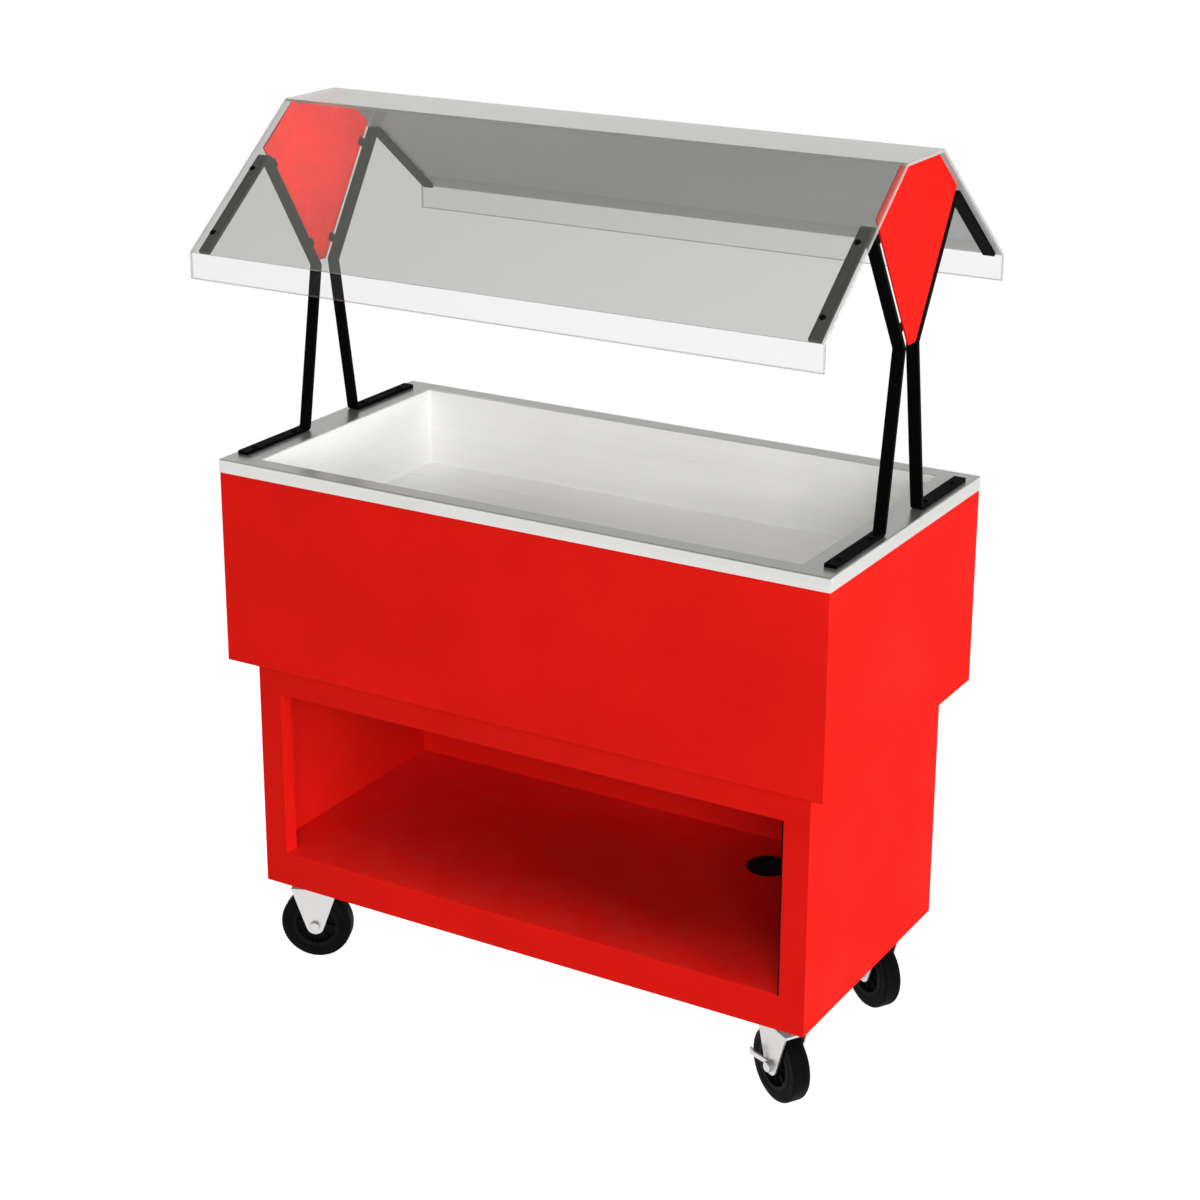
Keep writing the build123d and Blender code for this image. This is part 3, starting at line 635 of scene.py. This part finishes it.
WHEEL_CORE = Moulded("wheel_core_nylon", (0.004, 0.004, 0.0042), sheen=0.06, depth=0.00005, dust_share=0.01)
GRIP = Moulded("lever_grip_vinyl", (0.62, 0.02, 0.012), depth=0.00006, dust_share=0.02)
BRASS = CastBrass("cast_brass", (0.66, 0.49, 0.24))


class Outline(Enum):
    """How a ring of a turned shape runs round its axis."""

    ROUND = 0.0
    HEX = 1.0


@dataclass(frozen=True)
class Ring:
    """One ring of a turned shape: its radius (half its width across flats), height and outline."""

    radius: Operand
    height: Operand
    outline: Outline = Outline.ROUND

    def scaled(self, radius: Wire, height: Wire) -> "Ring":
        """This ring, with its radius and height as shares of these."""
        return Ring(radius * self.radius, height * self.height, self.outline)


Rings = tuple[Ring, ...]


@dataclass(frozen=True)
class Spot:
    """Where a repeated shape stands, and the way its axis points."""

    place: Vector
    axis: Vector


@dataclass(frozen=True)
class Repeated:
    """A shape that Geometry Nodes put at each of some spots; its fields are the tree's inputs."""

    def shape(self, bench: Bench, size: dict[str, Wire]) -> Wire:
        """The shape's mesh, with its axis along Z."""
        raise NotImplementedError

    def tree(self) -> tuple[bpy.types.NodeTree, dict[str, str]]:
        """Builds the tree that puts the shape at each point of a mesh.

        Returns:
            The tree, and the identifier of each of its inputs by name.
        """
        group = bpy.data.node_groups.new(type(self).__name__, "GeometryNodeTree")
        kinds = {"Points": "NodeSocketGeometry"}
        kinds |= {size.name: "NodeSocketFloat" for size in fields(self)}
        kinds |= {"seed": "NodeSocketInt", "finish": "NodeSocketMaterial"}
        sockets = {
            name: group.interface.new_socket(name, in_out="INPUT", socket_type=kind)
            for name, kind in kinds.items()
        }
        group.interface.new_socket("Pieces", in_out="OUTPUT", socket_type="NodeSocketGeometry")
        bench = Bench(group)
        given = bench.outputs(bench.add("NodeGroupInput"))
        named = {"data_type": "FLOAT_VECTOR"}
        axis = bench.add("GeometryNodeInputNamedAttribute", named, {"Name": "axis"}, "Attribute")
        aim = bench.add("FunctionNodeAlignRotationToVector", {"axis": "Z"}, {"Vector": axis})
        span = {"Min": 0.0, "Max": math.tau, "Seed": given["seed"]}
        turn = bench.add("FunctionNodeRandomValue", {"data_type": "FLOAT"}, span, "Value")
        spin = bench.add("FunctionNodeEulerToRotation", {}, {"Euler": bench.join(0.0, 0.0, turn)})
        turned = {"Rotation": aim, "Rotate By": spin}
        turned = bench.add("FunctionNodeRotateRotation", {"rotation_space": "LOCAL"}, turned)
        put = {"Points": given["Points"], "Instance": self.shape(bench, given), "Rotation": turned}
        placed = bench.add("GeometryNodeInstanceOnPoints", {}, put)
        real = bench.add("GeometryNodeRealizeInstances", {}, {"Geometry": placed})
        coated = {"Geometry": real, "Material": given["finish"]}
        bench.add("NodeGroupOutput", {}, {0: bench.add("GeometryNodeSetMaterial", {}, coated)})
        return group, {name: socket.identifier for name, socket in sockets.items()}

    def make(self, name: str, spots: list[Spot], finish: Finish, seed: int = 1) -> bpy.types.Object:
        """Makes one piece of the shapes at all the spots.

        Args:
            name: The piece's name.
            spots: Where the shapes stand.
            finish: Their finish.
            seed: Seed of the turns about their own axes.

        Returns:
            The piece, as a plain mesh.
        """
        points = bpy.data.meshes.new(name)
        points.from_pydata([spot.place for spot in spots], [], [])
        axes = points.attributes.new("axis", "FLOAT_VECTOR", "POINT")
        axes.data.foreach_set("vector", [part for spot in spots for part in spot.axis])
        piece = enter(name, points)
        group, inputs = self.tree()
        modifier = piece.modifiers.new(name, "NODES")
        modifier.node_group = group
        values = {size.name: getattr(self, size.name) for size in fields(self)}
        for key, value in (values | {"seed": seed, "finish": finish.material()}).items():
            modifier[inputs[key]] = value
        graph = bpy.context.evaluated_depsgraph_get()
        mesh = bpy.data.meshes.new_from_object(
            piece.evaluated_get(graph), preserve_all_data_layers=True, depsgraph=graph
        )
        piece.modifiers.clear()
        piece.data = mesh
        return piece


@dataclass(frozen=True)
class Turned(Repeated):
    """A shape turned about its axis from a list of rings, with a number of sides that six divides."""

    sides: ClassVar[int] = 36

    def rings(self, size: dict[str, Wire]) -> list[Ring]:
        """The rings, from the foot up the outside and back to the axis or the first ring."""
        raise NotImplementedError

    def shape(self, bench: Bench, size: dict[str, Wire]) -> Wire:
        """Bends a grid round the axis, one row of it to each ring.

        Args:
            bench: The tree's bench.
            size: The tree's inputs.

        Returns:
            The closed mesh.
        """
        rings = self.rings(size)
        count = len(rings)
        lattice = {"Vertices X": self.sides + 1, "Vertices Y": count}
        grid = bench.add("GeometryNodeMeshGrid", {}, lattice, "Mesh")
        index = bench.add("GeometryNodeInputIndex")
        row = bench.add("FunctionNodeIntegerMath", {"operation": "MODULO"}, {0: index, 1: count})
        floor = {"operation": "DIVIDE_FLOOR"}
        column = bench.add("FunctionNodeIntegerMath", floor, {0: index, 1: count})
        angle = column * (math.tau / self.sides)
        corner = angle.maths("MODULO", angle, math.pi / 3) - math.pi / 6
        hexagon = 1 / corner.maths("COSINE", corner) - 1
        switch = {"data_type": "FLOAT", "switch_items": count}
        picked = []
        for values in zip(*[(ring.radius, ring.height, ring.outline.value) for ring in rings]):
            sockets = {"Index": row} | {str(place): value for place, value in enumerate(values)}
            picked.append(bench.add("GeometryNodeIndexSwitch", switch, sockets, "Output"))
        radius, height, flat_sided = picked
        radius = radius * (1 + flat_sided * hexagon)
        across = radius * angle.maths("COSINE", angle)
        along = radius * angle.maths("SINE", angle)
        bent = {"Geometry": grid, "Position": bench.join(across, along, height)}
        mesh = bench.add("GeometryNodeSetPosition", {}, bent)
        merging = {"Geometry": mesh, "Distance": MERGE_DISTANCE}
        mesh = bench.add("GeometryNodeMergeByDistance", {}, merging)
        mesh = bench.add("GeometryNodeSetShadeSmooth", {}, {"Geometry": mesh, "Shade Smooth": True})
        bend = bench.add("GeometryNodeInputMeshEdgeAngle", {}, {}, "Unsigned Angle")
        soft = {"Geometry": mesh, "Shade Smooth": bend.maths("LESS_THAN", bend, SHARP_ANGLE)}
        return bench.add("GeometryNodeSetShadeSmooth", {"domain": "EDGE"}, soft)


@dataclass(frozen=True)
class ButtonScrew(Turned):
    """A button-head screw with a hexagon key socket; its head stands on height 0."""

    head_radius: float = 0.005
    head_height: float = 0.0026
    shank_radius: float = 0.0025
    shank_length: float = 0.011
    key_half: float = 0.0015
    key_depth: float = 0.0015
    key_point: ClassVar[float] = 0.3
    shank: ClassVar[Rings] = (Ring(0.0, -1.0), Ring(0.8, -1.0), Ring(1.0, -0.94), Ring(1.0, 0.0))
    dome: ClassVar[Rings] = (
        Ring(1.0, 0.0), Ring(1.0, 0.2), Ring(0.95, 0.5), Ring(0.84, 0.76), Ring(0.68, 0.93), Ring(0.5, 1.0)
    )

    def rings(self, size: dict[str, Wire]) -> list[Ring]:
        """Shank, domed head, then the key socket.

        Args:
            size: The tree's inputs.

        Returns:
            The rings.
        """
        rise, key = size["head_height"], size["key_half"]
        floor = rise - size["key_depth"]
        return [
            *[ring.scaled(size["shank_radius"], size["shank_length"]) for ring in self.shank],
            *[ring.scaled(size["head_radius"], rise) for ring in self.dome],
            Ring(key, rise, Outline.HEX),
            Ring(key, floor, Outline.HEX),
            Ring(0.0, floor - key * self.key_point),
        ]


@dataclass(frozen=True)
class HexBolt(Turned):
    """A hex-head bolt; its head stands on height 0 and its shank goes down from there."""

    head_half: float = 0.0065
    head_height: float = 0.0053
    shank_radius: float = 0.004
    shank_length: float = 0.016
    shank: ClassVar[Rings] = (Ring(0.0, -1.0), Ring(0.78, -1.0), Ring(1.0, -0.94), Ring(1.0, 0.0))
    head: ClassVar[Rings] = (
        Ring(0.96, 0.0), Ring(0.98, 0.06), Ring(1.0, 0.1, Outline.HEX), Ring(1.0, 0.88, Outline.HEX),
        Ring(0.97, 1.0), Ring(0.6, 1.0), Ring(0.55, 0.95), Ring(0.0, 0.95),
    )

    def rings(self, size: dict[str, Wire]) -> list[Ring]:
        """Chamfered shank, washer face, then a head with rounded-off corners.

        Args:
            size: The tree's inputs.

        Returns:
            The rings.
        """
        return [
            *[ring.scaled(size["shank_radius"], size["shank_length"]) for ring in self.shank],
            *[ring.scaled(size["head_half"], size["head_height"]) for ring in self.head],
        ]


@dataclass(frozen=True)
class HexNut(Turned):
    """A hex nut with chamfered faces; it stands on height 0."""

    half: float = 0.0055
    height: float = 0.0045
    bore: float = 0.00255
    hole: ClassVar[Rings] = (Ring(1.12, 1.0), Ring(1.0, 0.92), Ring(1.0, 0.08), Ring(1.12, 0.0))
    outside: ClassVar[Rings] = (
        Ring(0.96, 0.0), Ring(1.0, 0.12, Outline.HEX), Ring(1.0, 0.88, Outline.HEX), Ring(0.96, 1.0)
    )

    def rings(self, size: dict[str, Wire]) -> list[Ring]:
        """Up the outside and down the hole, back to the first ring.

        Args:
            size: The tree's inputs.

        Returns:
            The rings.
        """
        hole = [ring.scaled(size["bore"], size["height"]) for ring in self.hole]
        outside = [ring.scaled(size["half"], size["height"]) for ring in self.outside]
        return [hole[-1], *outside, *hole]


@dataclass(frozen=True)
class Tyre(Turned):
    """A solid tyre with rounded shoulders, grooved tread and a raised bead on each wall."""

    radius: float = 0.0635
    half_width: float = 0.016
    seat: float = 0.042
    shoulder: float = 0.006
    groove: float = 0.0007
    sides: ClassVar[int] = 96
    # Steps up a wall: how far out from the seat, and how much of a groove's depth they lie in.
    wall_steps: ClassVar[tuple[Pair, ...]] = (
        (0.0, 0.0), (0.003, 0.0), (0.0035, 1.0), (0.006, 1.0), (0.0066, 0.0)
    )
    shoulder_steps: ClassVar[int] = 4
    # Grooves: their places as shares of half the tread, and half their width at mouth and floor.
    groove_places: ClassVar[tuple[float, ...]] = (0.72, 0.36, 0.0)
    groove_mouth: ClassVar[float] = 0.0006
    groove_floor: ClassVar[float] = 0.0003

    def rings(self, size: dict[str, Wire]) -> list[Ring]:
        """Round the section once: wall, shoulder, tread, shoulder, wall and seat.

        Args:
            size: The tree's inputs.

        Returns:
            The rings.
        """
        radius, half, seat = size["radius"], size["half_width"], size["seat"]
        shoulder, groove = size["shoulder"], size["groove"]
        wall = [(seat + out, half - groove * depth) for out, depth in self.wall_steps]
        wall.append((radius - shoulder, half))
        for step in range(1, self.shoulder_steps + 1):
            turn = step / self.shoulder_steps * math.pi / 2
            inward = shoulder * (1 - math.sin(turn))
            wall.append((radius - inward, half - shoulder * (1 - math.cos(turn))))
        half_tread = half - shoulder
        tread = []
        for place in self.groove_places:
            tread += [
                (radius, half_tread * place + self.groove_mouth),
                (radius - groove, half_tread * place + self.groove_floor),
                (radius - groove, half_tread * place - self.groove_floor),
                (radius, half_tread * place - self.groove_mouth),
            ]
        # The last groove lies in the middle, so the mirror image gives its second half.
        upper = wall + tread[:-2]
        lower = [(out, up * -1.0) for out, up in reversed(upper)]
        rings = [Ring(out, up) for out, up in lower + list(reversed(upper))]
        return [*rings, rings[0]]


@dataclass(frozen=True)
class CoreRibs(Repeated):
    """Ribs on both sides of a wheel core's web, from its boss to its rim, each thinner outwards."""

    boss: float = 0.0145
    rim: float = 0.0365
    web_half: float = 0.0045
    reach: float = 0.0135
    thickness: float = 0.0032
    count: ClassVar[int] = 8
    rows: ClassVar[int] = 5
    taper: ClassVar[float] = 0.45
    hollow: ClassVar[float] = 0.35

    def shape(self, bench: Bench, size: dict[str, Wire]) -> Wire:
        """Sets tapered ribs round the axis on one side, and the same turned over on the other.

        Args:
            bench: The tree's bench.
            size: The tree's inputs.

        Returns:
            The ribs of one core.
        """
        length = size["rim"] - size["boss"]
        height = size["reach"] - size["web_half"]
        block = {"Size": bench.join(length, size["thickness"], height), "Vertices X": self.rows}
        rib = bench.add("GeometryNodeMeshCube", {}, block, "Mesh")
        x, y, z = bench.split(bench.add("GeometryNodeInputPosition"))
        up = z / height + 0.5
        along = x / length * 2
        hollow = 1 - self.hollow * up * (1 - along * along)
        shaped = bench.join(x, y * (1 - self.taper * up), (up * hollow) * height)
        rib = bench.add("GeometryNodeSetPosition", {}, {"Geometry": rib, "Position": shaped})
        middle = (size["rim"] + size["boss"]) / 2
        circle = bench.add("GeometryNodeMeshCircle", {}, {"Vertices": self.count, "Radius": middle})
        outward = bench.add("GeometryNodeInputPosition")
        way = {"axis": "X", "pivot_axis": "Z"}
        aim = bench.add("FunctionNodeAlignRotationToVector", way, {"Vector": outward})
        put = {"Points": circle, "Instance": rib, "Rotation": aim}
        ring = bench.add("GeometryNodeInstanceOnPoints", {}, put)
        raised = {"Geometry": ring, "Translation": bench.join(0.0, 0.0, size["web_half"])}
        upper = bench.add("GeometryNodeTransform", {}, raised)
        over = {"Geometry": upper, "Rotation": (math.pi, 0.0, 0.0)}
        lower = bench.add("GeometryNodeTransform", {}, over)
        return bench.add("GeometryNodeJoinGeometry", {}, {"Geometry": [upper, lower]})


def dress(finish: Finish, *nodes: str) -> None:
    """Gives CAD nodes a finish.

    Args:
        finish: The finish.
        nodes: The nodes' names.
    """
    for node in nodes:
        slots = frame["nodes"][node].material_slots
        for slot in slots:
            slot.material = finish.material()
        log.info("%s has the finish %s", node, finish.name)


def settle(piece: bpy.types.Object, body: str, slot: str, *nodes: str) -> None:
    """Hangs a new piece on its body and hides the CAD nodes that it stands for.

    Args:
        piece: The piece.
        body: The body that it rides on.
        slot: The record's material slot of its finish; not used.
        nodes: The CAD nodes that it stands for.
    """
    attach(piece, body)
    if nodes:
        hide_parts(*nodes)
    log.info("%s rides on %s with %d faces", piece.name, body, len(piece.data.polygons))


@dataclass
class ServingDeck:
    """Stainless deck and cold pan, with the seal, foam, case and bearers below them."""

    def build(self) -> None:
        """Dresses the deck's own nodes."""
        dress(STAINLESS, "deck_top")
        # The pan gets the lighter copy of the stainless: painted light.
        dress(PAN_STEEL_PAINTED_LIGHT, "cold_pan")
        dress(SEALANT, "pan_seal")
        dress(FOAM, "pan_insulation")
        dress(GALVANISED, "insulation_case", "well_bearers")


@dataclass
class Cabinet:
    """Red apron and base, the shelf with its grommet, and a black strip that paints the shadow line down
    the opening's right side.
    """

    stile_x: float = 0.4805
    front_y: float = -0.247
    opening_low: float = 0.2165
    opening_high: float = 0.5175
    shadow_strip_width: float = 0.0022
    shadow_strip_depth: float = 0.012
    shadow_strip_round: float = 0.0007

    def build(self) -> None:
        """Dresses the cabinet's nodes and adds the black strip of painted shadow."""
        dress(RED_PAINT, "front_apron", "rear_apron", "right_apron", "left_apron")
        dress(RED_PAINT, "base_right", "base_left", "base_back", "base_front", "bottom_shelf")
        dress(BLACK_RUBBER, "shelf_grommet")
        dress(GALVANISED, "caster_channels")
        # Painted shadow: a thin black piece where the opening's right side shows only a shadow line.
        settle(self.make_shadow_strip(), TABLE_BODY, "black_rubber")

    def make_shadow_strip(self) -> bpy.types.Object:
        """Makes the black strip of painted shadow on the right stile's inner side, with a rounded front.

        Returns:
            The strip.
        """
        mesh = bpy.data.meshes.new("stile_shadow_strip")
        shape = bmesh.new()
        low, high = self.opening_low, self.opening_high
        outer, inner = self.stile_x, self.stile_x - self.shadow_strip_width
        back, front = self.front_y + self.shadow_strip_depth, self.front_y - self.shadow_strip_round
        outline = [
            (outer, back),
            (inner, back),
            (inner, front + self.shadow_strip_round),
            (inner + self.shadow_strip_round, front),
            (outer - self.shadow_strip_round, front),
            (outer, front + self.shadow_strip_round),
        ]
        foot = [shape.verts.new((x, y, low)) for x, y in outline]
        top = [shape.verts.new((x, y, high)) for x, y in outline]
        for this in range(len(outline)):
            after = (this + 1) % len(outline)
            shape.faces.new((foot[this], foot[after], top[after], top[this]))
        shape.faces.new(foot)
        shape.faces.new(top)
        bmesh.ops.recalc_face_normals(shape, faces=shape.faces)
        shape.to_mesh(mesh)
        shape.free()
        mesh.materials.append(BLACK_RUBBER.material())
        return enter("stile_shadow_strip", mesh)


@dataclass
class Drain:
    """Drain fitting with its strainer, ball valve and hose spigot."""

    def build(self) -> None:
        """Dresses the drain's nodes."""
        dress(STAINLESS, "drain_body", "drain_strainer")
        dress(BRASS, "drain_nut", "valve_body", "valve_ball", "hose_spigot")
        dress(GRIP, "valve_lever")


@dataclass
class Canopy:
    """Acrylic canopy on four bent bars, with the gables and all the screws that hold them."""

    bar_x: float = 0.543
    slope_top: Pair = (0.068, 1.5126)
    slope_foot: Pair = (0.3325, 1.3018)
    screw_runs: Pair = (0.15462, 0.29355)
    shank: float = 0.011
    foot_places: Pair = (0.103, 0.213)
    foot_top: float = 0.946
    foot_shank: float = 0.012
    deck_underside: float = 0.9385

    def build(self) -> None:
        """Dresses the canopy's nodes and builds its screws, bolts and nuts."""
        dress(BLACK_PAINT, *[f"support_{corner}" for corner in CORNERS], "gable_tabs")
        dress(RED_PAINT, "gable_right", "gable_left")
        dress(SMOKE, "front_shield", "rear_shield")
        # The top gets the acrylic copy with painted sheen.
        dress(TOP_ACRYLIC_PAINTED_SHEEN, "canopy_top")
        # The lips get the acrylic copy with painted light.
        dress(LIP_ACRYLIC_PAINTED_LIGHT, "front_lip", "rear_lip")
        screws = ButtonScrew(shank_length=self.shank)
        screws = screws.make("shield_screw_set", self.screw_spots(), BLACK_SCREW, seed=3)
        settle(screws, TABLE_BODY, "black_fasteners", "shield_screws")
        bolts = ButtonScrew(shank_length=self.foot_shank)
        bolts = bolts.make("foot_bolt_set", self.foot_spots(self.foot_top, 1), BLACK_SCREW, seed=5)
        settle(bolts, TABLE_BODY, "black_fasteners", "foot_bolts")
        nuts = HexNut().make("foot_nut_set", self.foot_spots(self.deck_underside, -1), BLACK_SCREW, seed=7)
        settle(nuts, TABLE_BODY, "black_fasteners", "foot_nuts")

    def screw_spots(self) -> list[Spot]:
        """Spots of the screws on both slopes, two to an arm.

        Returns:
            The spots.
        """
        down = (Vector(self.slope_foot) - Vector(self.slope_top)).normalized()
        spots = []
        for x in (-self.bar_x, self.bar_x):
            for side in (-1, 1):
                for run in self.screw_runs:
                    out, up = Vector(self.slope_top) + down * run
                    axis = Vector((0, -side * down.y, down.x))
                    spots.append(Spot(Vector((x, side * out, up)), axis))
        return spots

    def foot_spots(self, level: float, way: int) -> list[Spot]:
        """Spots of the bolts or nuts of the four feet.

        Args:
            level: The height that they stand on.
            way: 1 if they point up, -1 if down.

        Returns:
            The spots.
        """
        return [
            Spot(Vector((x, side * y, level)), Vector((0, 0, way)))
            for x in (-self.bar_x, self.bar_x)
            for side in (-1, 1)
            for y in self.foot_places
        ]


@dataclass
class CasterSet:
    """Four swivel casters with their plates, bolts, forks, wheels and brake levers."""

    axis_x: float = 0.438
    axis_y: float = 0.176
    plate_under: float = 0.152
    bolt_x: float = 0.037
    bolt_y: float = 0.0215

    def build(self) -> None:
        """Dresses the casters' nodes and builds their bolts, tyres and ribs."""
        dress(ZINC, "caster_plates")
        bolts = HexBolt().make("caster_bolt_set", self.bolt_spots(), ZINC, seed=11)
        settle(bolts, TABLE_BODY, "zinc_plate", "caster_bolts")
        for corner in CORNERS:
            dress(ZINC, f"fork_{corner}", f"axle_{corner}")
            dress(WHEEL_CORE, f"wheel_core_{corner}")
            wheel = [self.wheel_spot(corner)]
            tyre = Tyre().make(f"grooved_tyre_{corner}", wheel, TYRE)
            settle(tyre, f"wheel_{corner}", "tyre_black", f"tyre_{corner}")
            ribs = CoreRibs().make(f"core_ribs_{corner}", wheel, WHEEL_CORE)
            settle(ribs, f"wheel_{corner}", "core_grey")
        dress(ZINC, *[f"brake_lever_{corner}" for corner in BRAKED_CORNERS])

    def bolt_spots(self) -> list[Spot]:
        """Spots of the bolts in the four plates, pointing down.

        Returns:
            The spots.
        """
        return [
            Spot(Vector((x + shift_x, y + shift_y, self.plate_under)), Vector((0, 0, -1)))
            for x in (-self.axis_x, self.axis_x)
            for y in (-self.axis_y, self.axis_y)
            for shift_x in (-self.bolt_x, self.bolt_x)
            for shift_y in (-self.bolt_y, self.bolt_y)
        ]

    def wheel_spot(self, corner: str) -> Spot:
        """The middle of a wheel and the way of its axle.

        Args:
            corner: The caster's corner.

        Returns:
            The spot.
        """
        joint = next(joint for joint in frame["joints"] if joint["child"] == f"wheel_{corner}")
        low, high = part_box(f"tyre_{corner}")
        return Spot((low + high) / 2, Vector(joint["axis"]).normalized())


def outward(azimuth: float, elevation: float) -> Vector:
    """The way to a camera or lamp, in degrees from the front round to the right, and above the floor."""
    turn, lift = math.radians(azimuth), math.radians(elevation)
    return Vector((math.sin(turn) * math.cos(lift), -math.cos(turn) * math.cos(lift), math.sin(lift)))


@dataclass(frozen=True)
class Lamp:
    """A soft rectangular lamp that points at the object.

    Its level is how bright it makes a white face that faces it, while its beam isn't narrowed.
    Glossy faces mirror the plain surround alone, so that no lamp's outline cuts across them.
    """

    name: str
    azimuth: float
    elevation: float
    level: float
    distance: float = 14.0
    size: Pair = (6.5, 5.0)
    aim: Point = (0.0, 0.0, 0.7)
    spread: float = 180.0

    def build(self) -> None:
        """Makes the lamp."""
        data = bpy.data.lights.new(self.name, "AREA")
        data.shape = "RECTANGLE"
        data.size, data.size_y = self.size
        data.spread = math.radians(self.spread)
        data.energy = self.level * (math.pi * self.distance) ** 2
        lamp = enter(self.name, data)
        lamp.visible_glossy = False
        way = outward(self.azimuth, self.elevation)
        lamp.location = Vector(self.aim) + way * self.distance
        lamp.rotation_euler = (-way).to_track_quat("-Z", "Y").to_euler()


@dataclass
class Studio:
    """Pale floor, soft lamps, a plain bright surround and the camera."""

    floor_half: float = 30.0
    floor_glow: float = 0.90
    floor_tone: float = 0.42
    near: float = 1.2
    far: float = 3.2
    # The surround as the eye sees it: white up to the first height, and less by the drop at the second.
    seen_heights: Pair = (0.10, 0.45)
    seen_drop: float = 0.7
    # The surround as a light: its level, the share of it at the horizon, and what that loses higher up.
    dome: float = 0.24
    dome_heights: Pair = (0.0, 0.6)
    dome_share: float = 1.3
    dome_drop: float = 1.1
    azimuth: float = 31.0578
    elevation: float = 17.9975
    eye: Point = (1.993623, -3.392435, 2.18733)
    sensor: float = 36.0
    lens: float = 74.9362
    shift: Pair = (30 / PHOTO_SIDE, -115 / PHOTO_SIDE)
    lamps: tuple[Lamp, ...] = (
        Lamp("key_softbox", 31.0, 18.0, 0.47),
        Lamp("right_softbox", 78.0, 10.0, 0.44),
        Lamp("low_softbox", 80.0, -2.0, 0.28, 5.0, (2.4, 1.2), aim=(0.0, 0.0, 0.9)),
        Lamp("gable_softbox", 74.0, -16.0, 0.0068, 4.0, (0.3, 0.3), aim=(-0.55, -0.05, 1.49), spread=9.0),
        Lamp("top_softbox", 20.0, 70.0, 0.34, 6.0, (3.0, 3.0)),
        Lamp("left_softbox", 265.0, 12.0, 0.45),
        Lamp("rear_softbox", 165.0, 12.0, 0.45),
    )

    def build(self) -> None:
        """Builds everything that isn't the object."""
        bpy.context.scene.view_settings.view_transform = "Standard"
        self.build_floor()
        self.build_surround()
        for lamp in self.lamps:
            lamp.build()
        self.build_camera()

    @staticmethod
    def seen(bench: Bench) -> Wire:
        """1 for what the camera sees, directly or in metal and acrylic."""
        rays = bench.outputs(bench.add("ShaderNodeLightPath"))
        return rays["Is Camera Ray"].most(rays["Is Glossy Ray"]).most(rays["Is Transmission Ray"])

    def build_floor(self) -> None:
        """Makes the floor: white to the eye, with the object's soft shadow on it."""
        half = self.floor_half
        mesh = bpy.data.meshes.new("floor")
        corners = [(-half, -half, 0), (half, -half, 0), (half, half, 0), (-half, half, 0)]
        mesh.from_pydata(corners, [], [(0, 1, 2, 3)])
        material = bpy.data.materials.new("pale_floor")
        material.use_nodes = True
        bench = Bench(material.node_tree)
        tone = (self.floor_tone,) * 3 + (1.0,)
        lit = bench.add("ShaderNodeBsdfDiffuse", {}, {"Color": tone})
        glow = bench.add("ShaderNodeEmission", {}, {"Strength": self.floor_glow})
        shown = bench.add("ShaderNodeAddShader", {}, {0: lit, 1: glow})
        white = bench.add("ShaderNodeEmission", {}, {"Strength": 1.0})
        reach = bench.add("ShaderNodeVectorMath", {"operation": "LENGTH"}, {0: bench.place()}, "Value")
        fade = {"Fac": reach.rise(self.near, self.far), 1: shown, 2: white}
        shown = bench.add("ShaderNodeMixShader", {}, fade)
        both = {"Fac": self.seen(bench), 1: lit, 2: shown}
        surface = bench.add("ShaderNodeMixShader", {}, both)
        bench.add("ShaderNodeOutputMaterial", {}, {"Surface": surface})
        mesh.materials.append(material)
        floor = enter("floor", mesh)

    def build_surround(self) -> None:
        """Makes the surround: white to the eye near the horizon, dim above, and a soft dome of light."""
        world = bpy.data.worlds.new("surround")
        bpy.context.scene.world = world
        world.use_nodes = True
        bench = Bench(world.node_tree)
        height = bench.split(bench.add("ShaderNodeTexCoord", {}, {}, "Generated"))[2]
        white = 1 - height.rise(*self.seen_heights) * self.seen_drop
        light = self.dome * (self.dome_share - height.rise(*self.dome_heights) * self.dome_drop)
        seen = self.seen(bench)
        strength = light + (white - light) * seen
        lit = {"Color": (1.0, 1.0, 1.0, 1.0), "Strength": strength}
        glow = bench.add("ShaderNodeBackground", {}, lit)
        bench.add("ShaderNodeOutputWorld", {}, {"Surface": glow})

    def build_camera(self) -> None:
        """Makes the camera at the photograph's viewing angle."""
        back = outward(self.azimuth, self.elevation)
        right = outward(self.azimuth + 90, 0.0)
        data = bpy.data.cameras.new("camera")
        data.sensor_width = self.sensor
        data.lens = self.lens
        data.shift_x, data.shift_y = self.shift
        camera = enter("camera", data)
        stand = Matrix((right, back.cross(right), back)).transposed().to_4x4()
        stand.translation = Vector(self.eye)
        camera.matrix_world = stand
        bpy.context.scene.camera = camera


def main() -> None:
    """Builds the sub-assemblies and the studio in order, and reports every piece."""
    for part in (ServingDeck(), Cabinet(), Drain(), Canopy(), CasterSet(), Studio()):
        part.build()


if __name__ == "__main__":
    main()
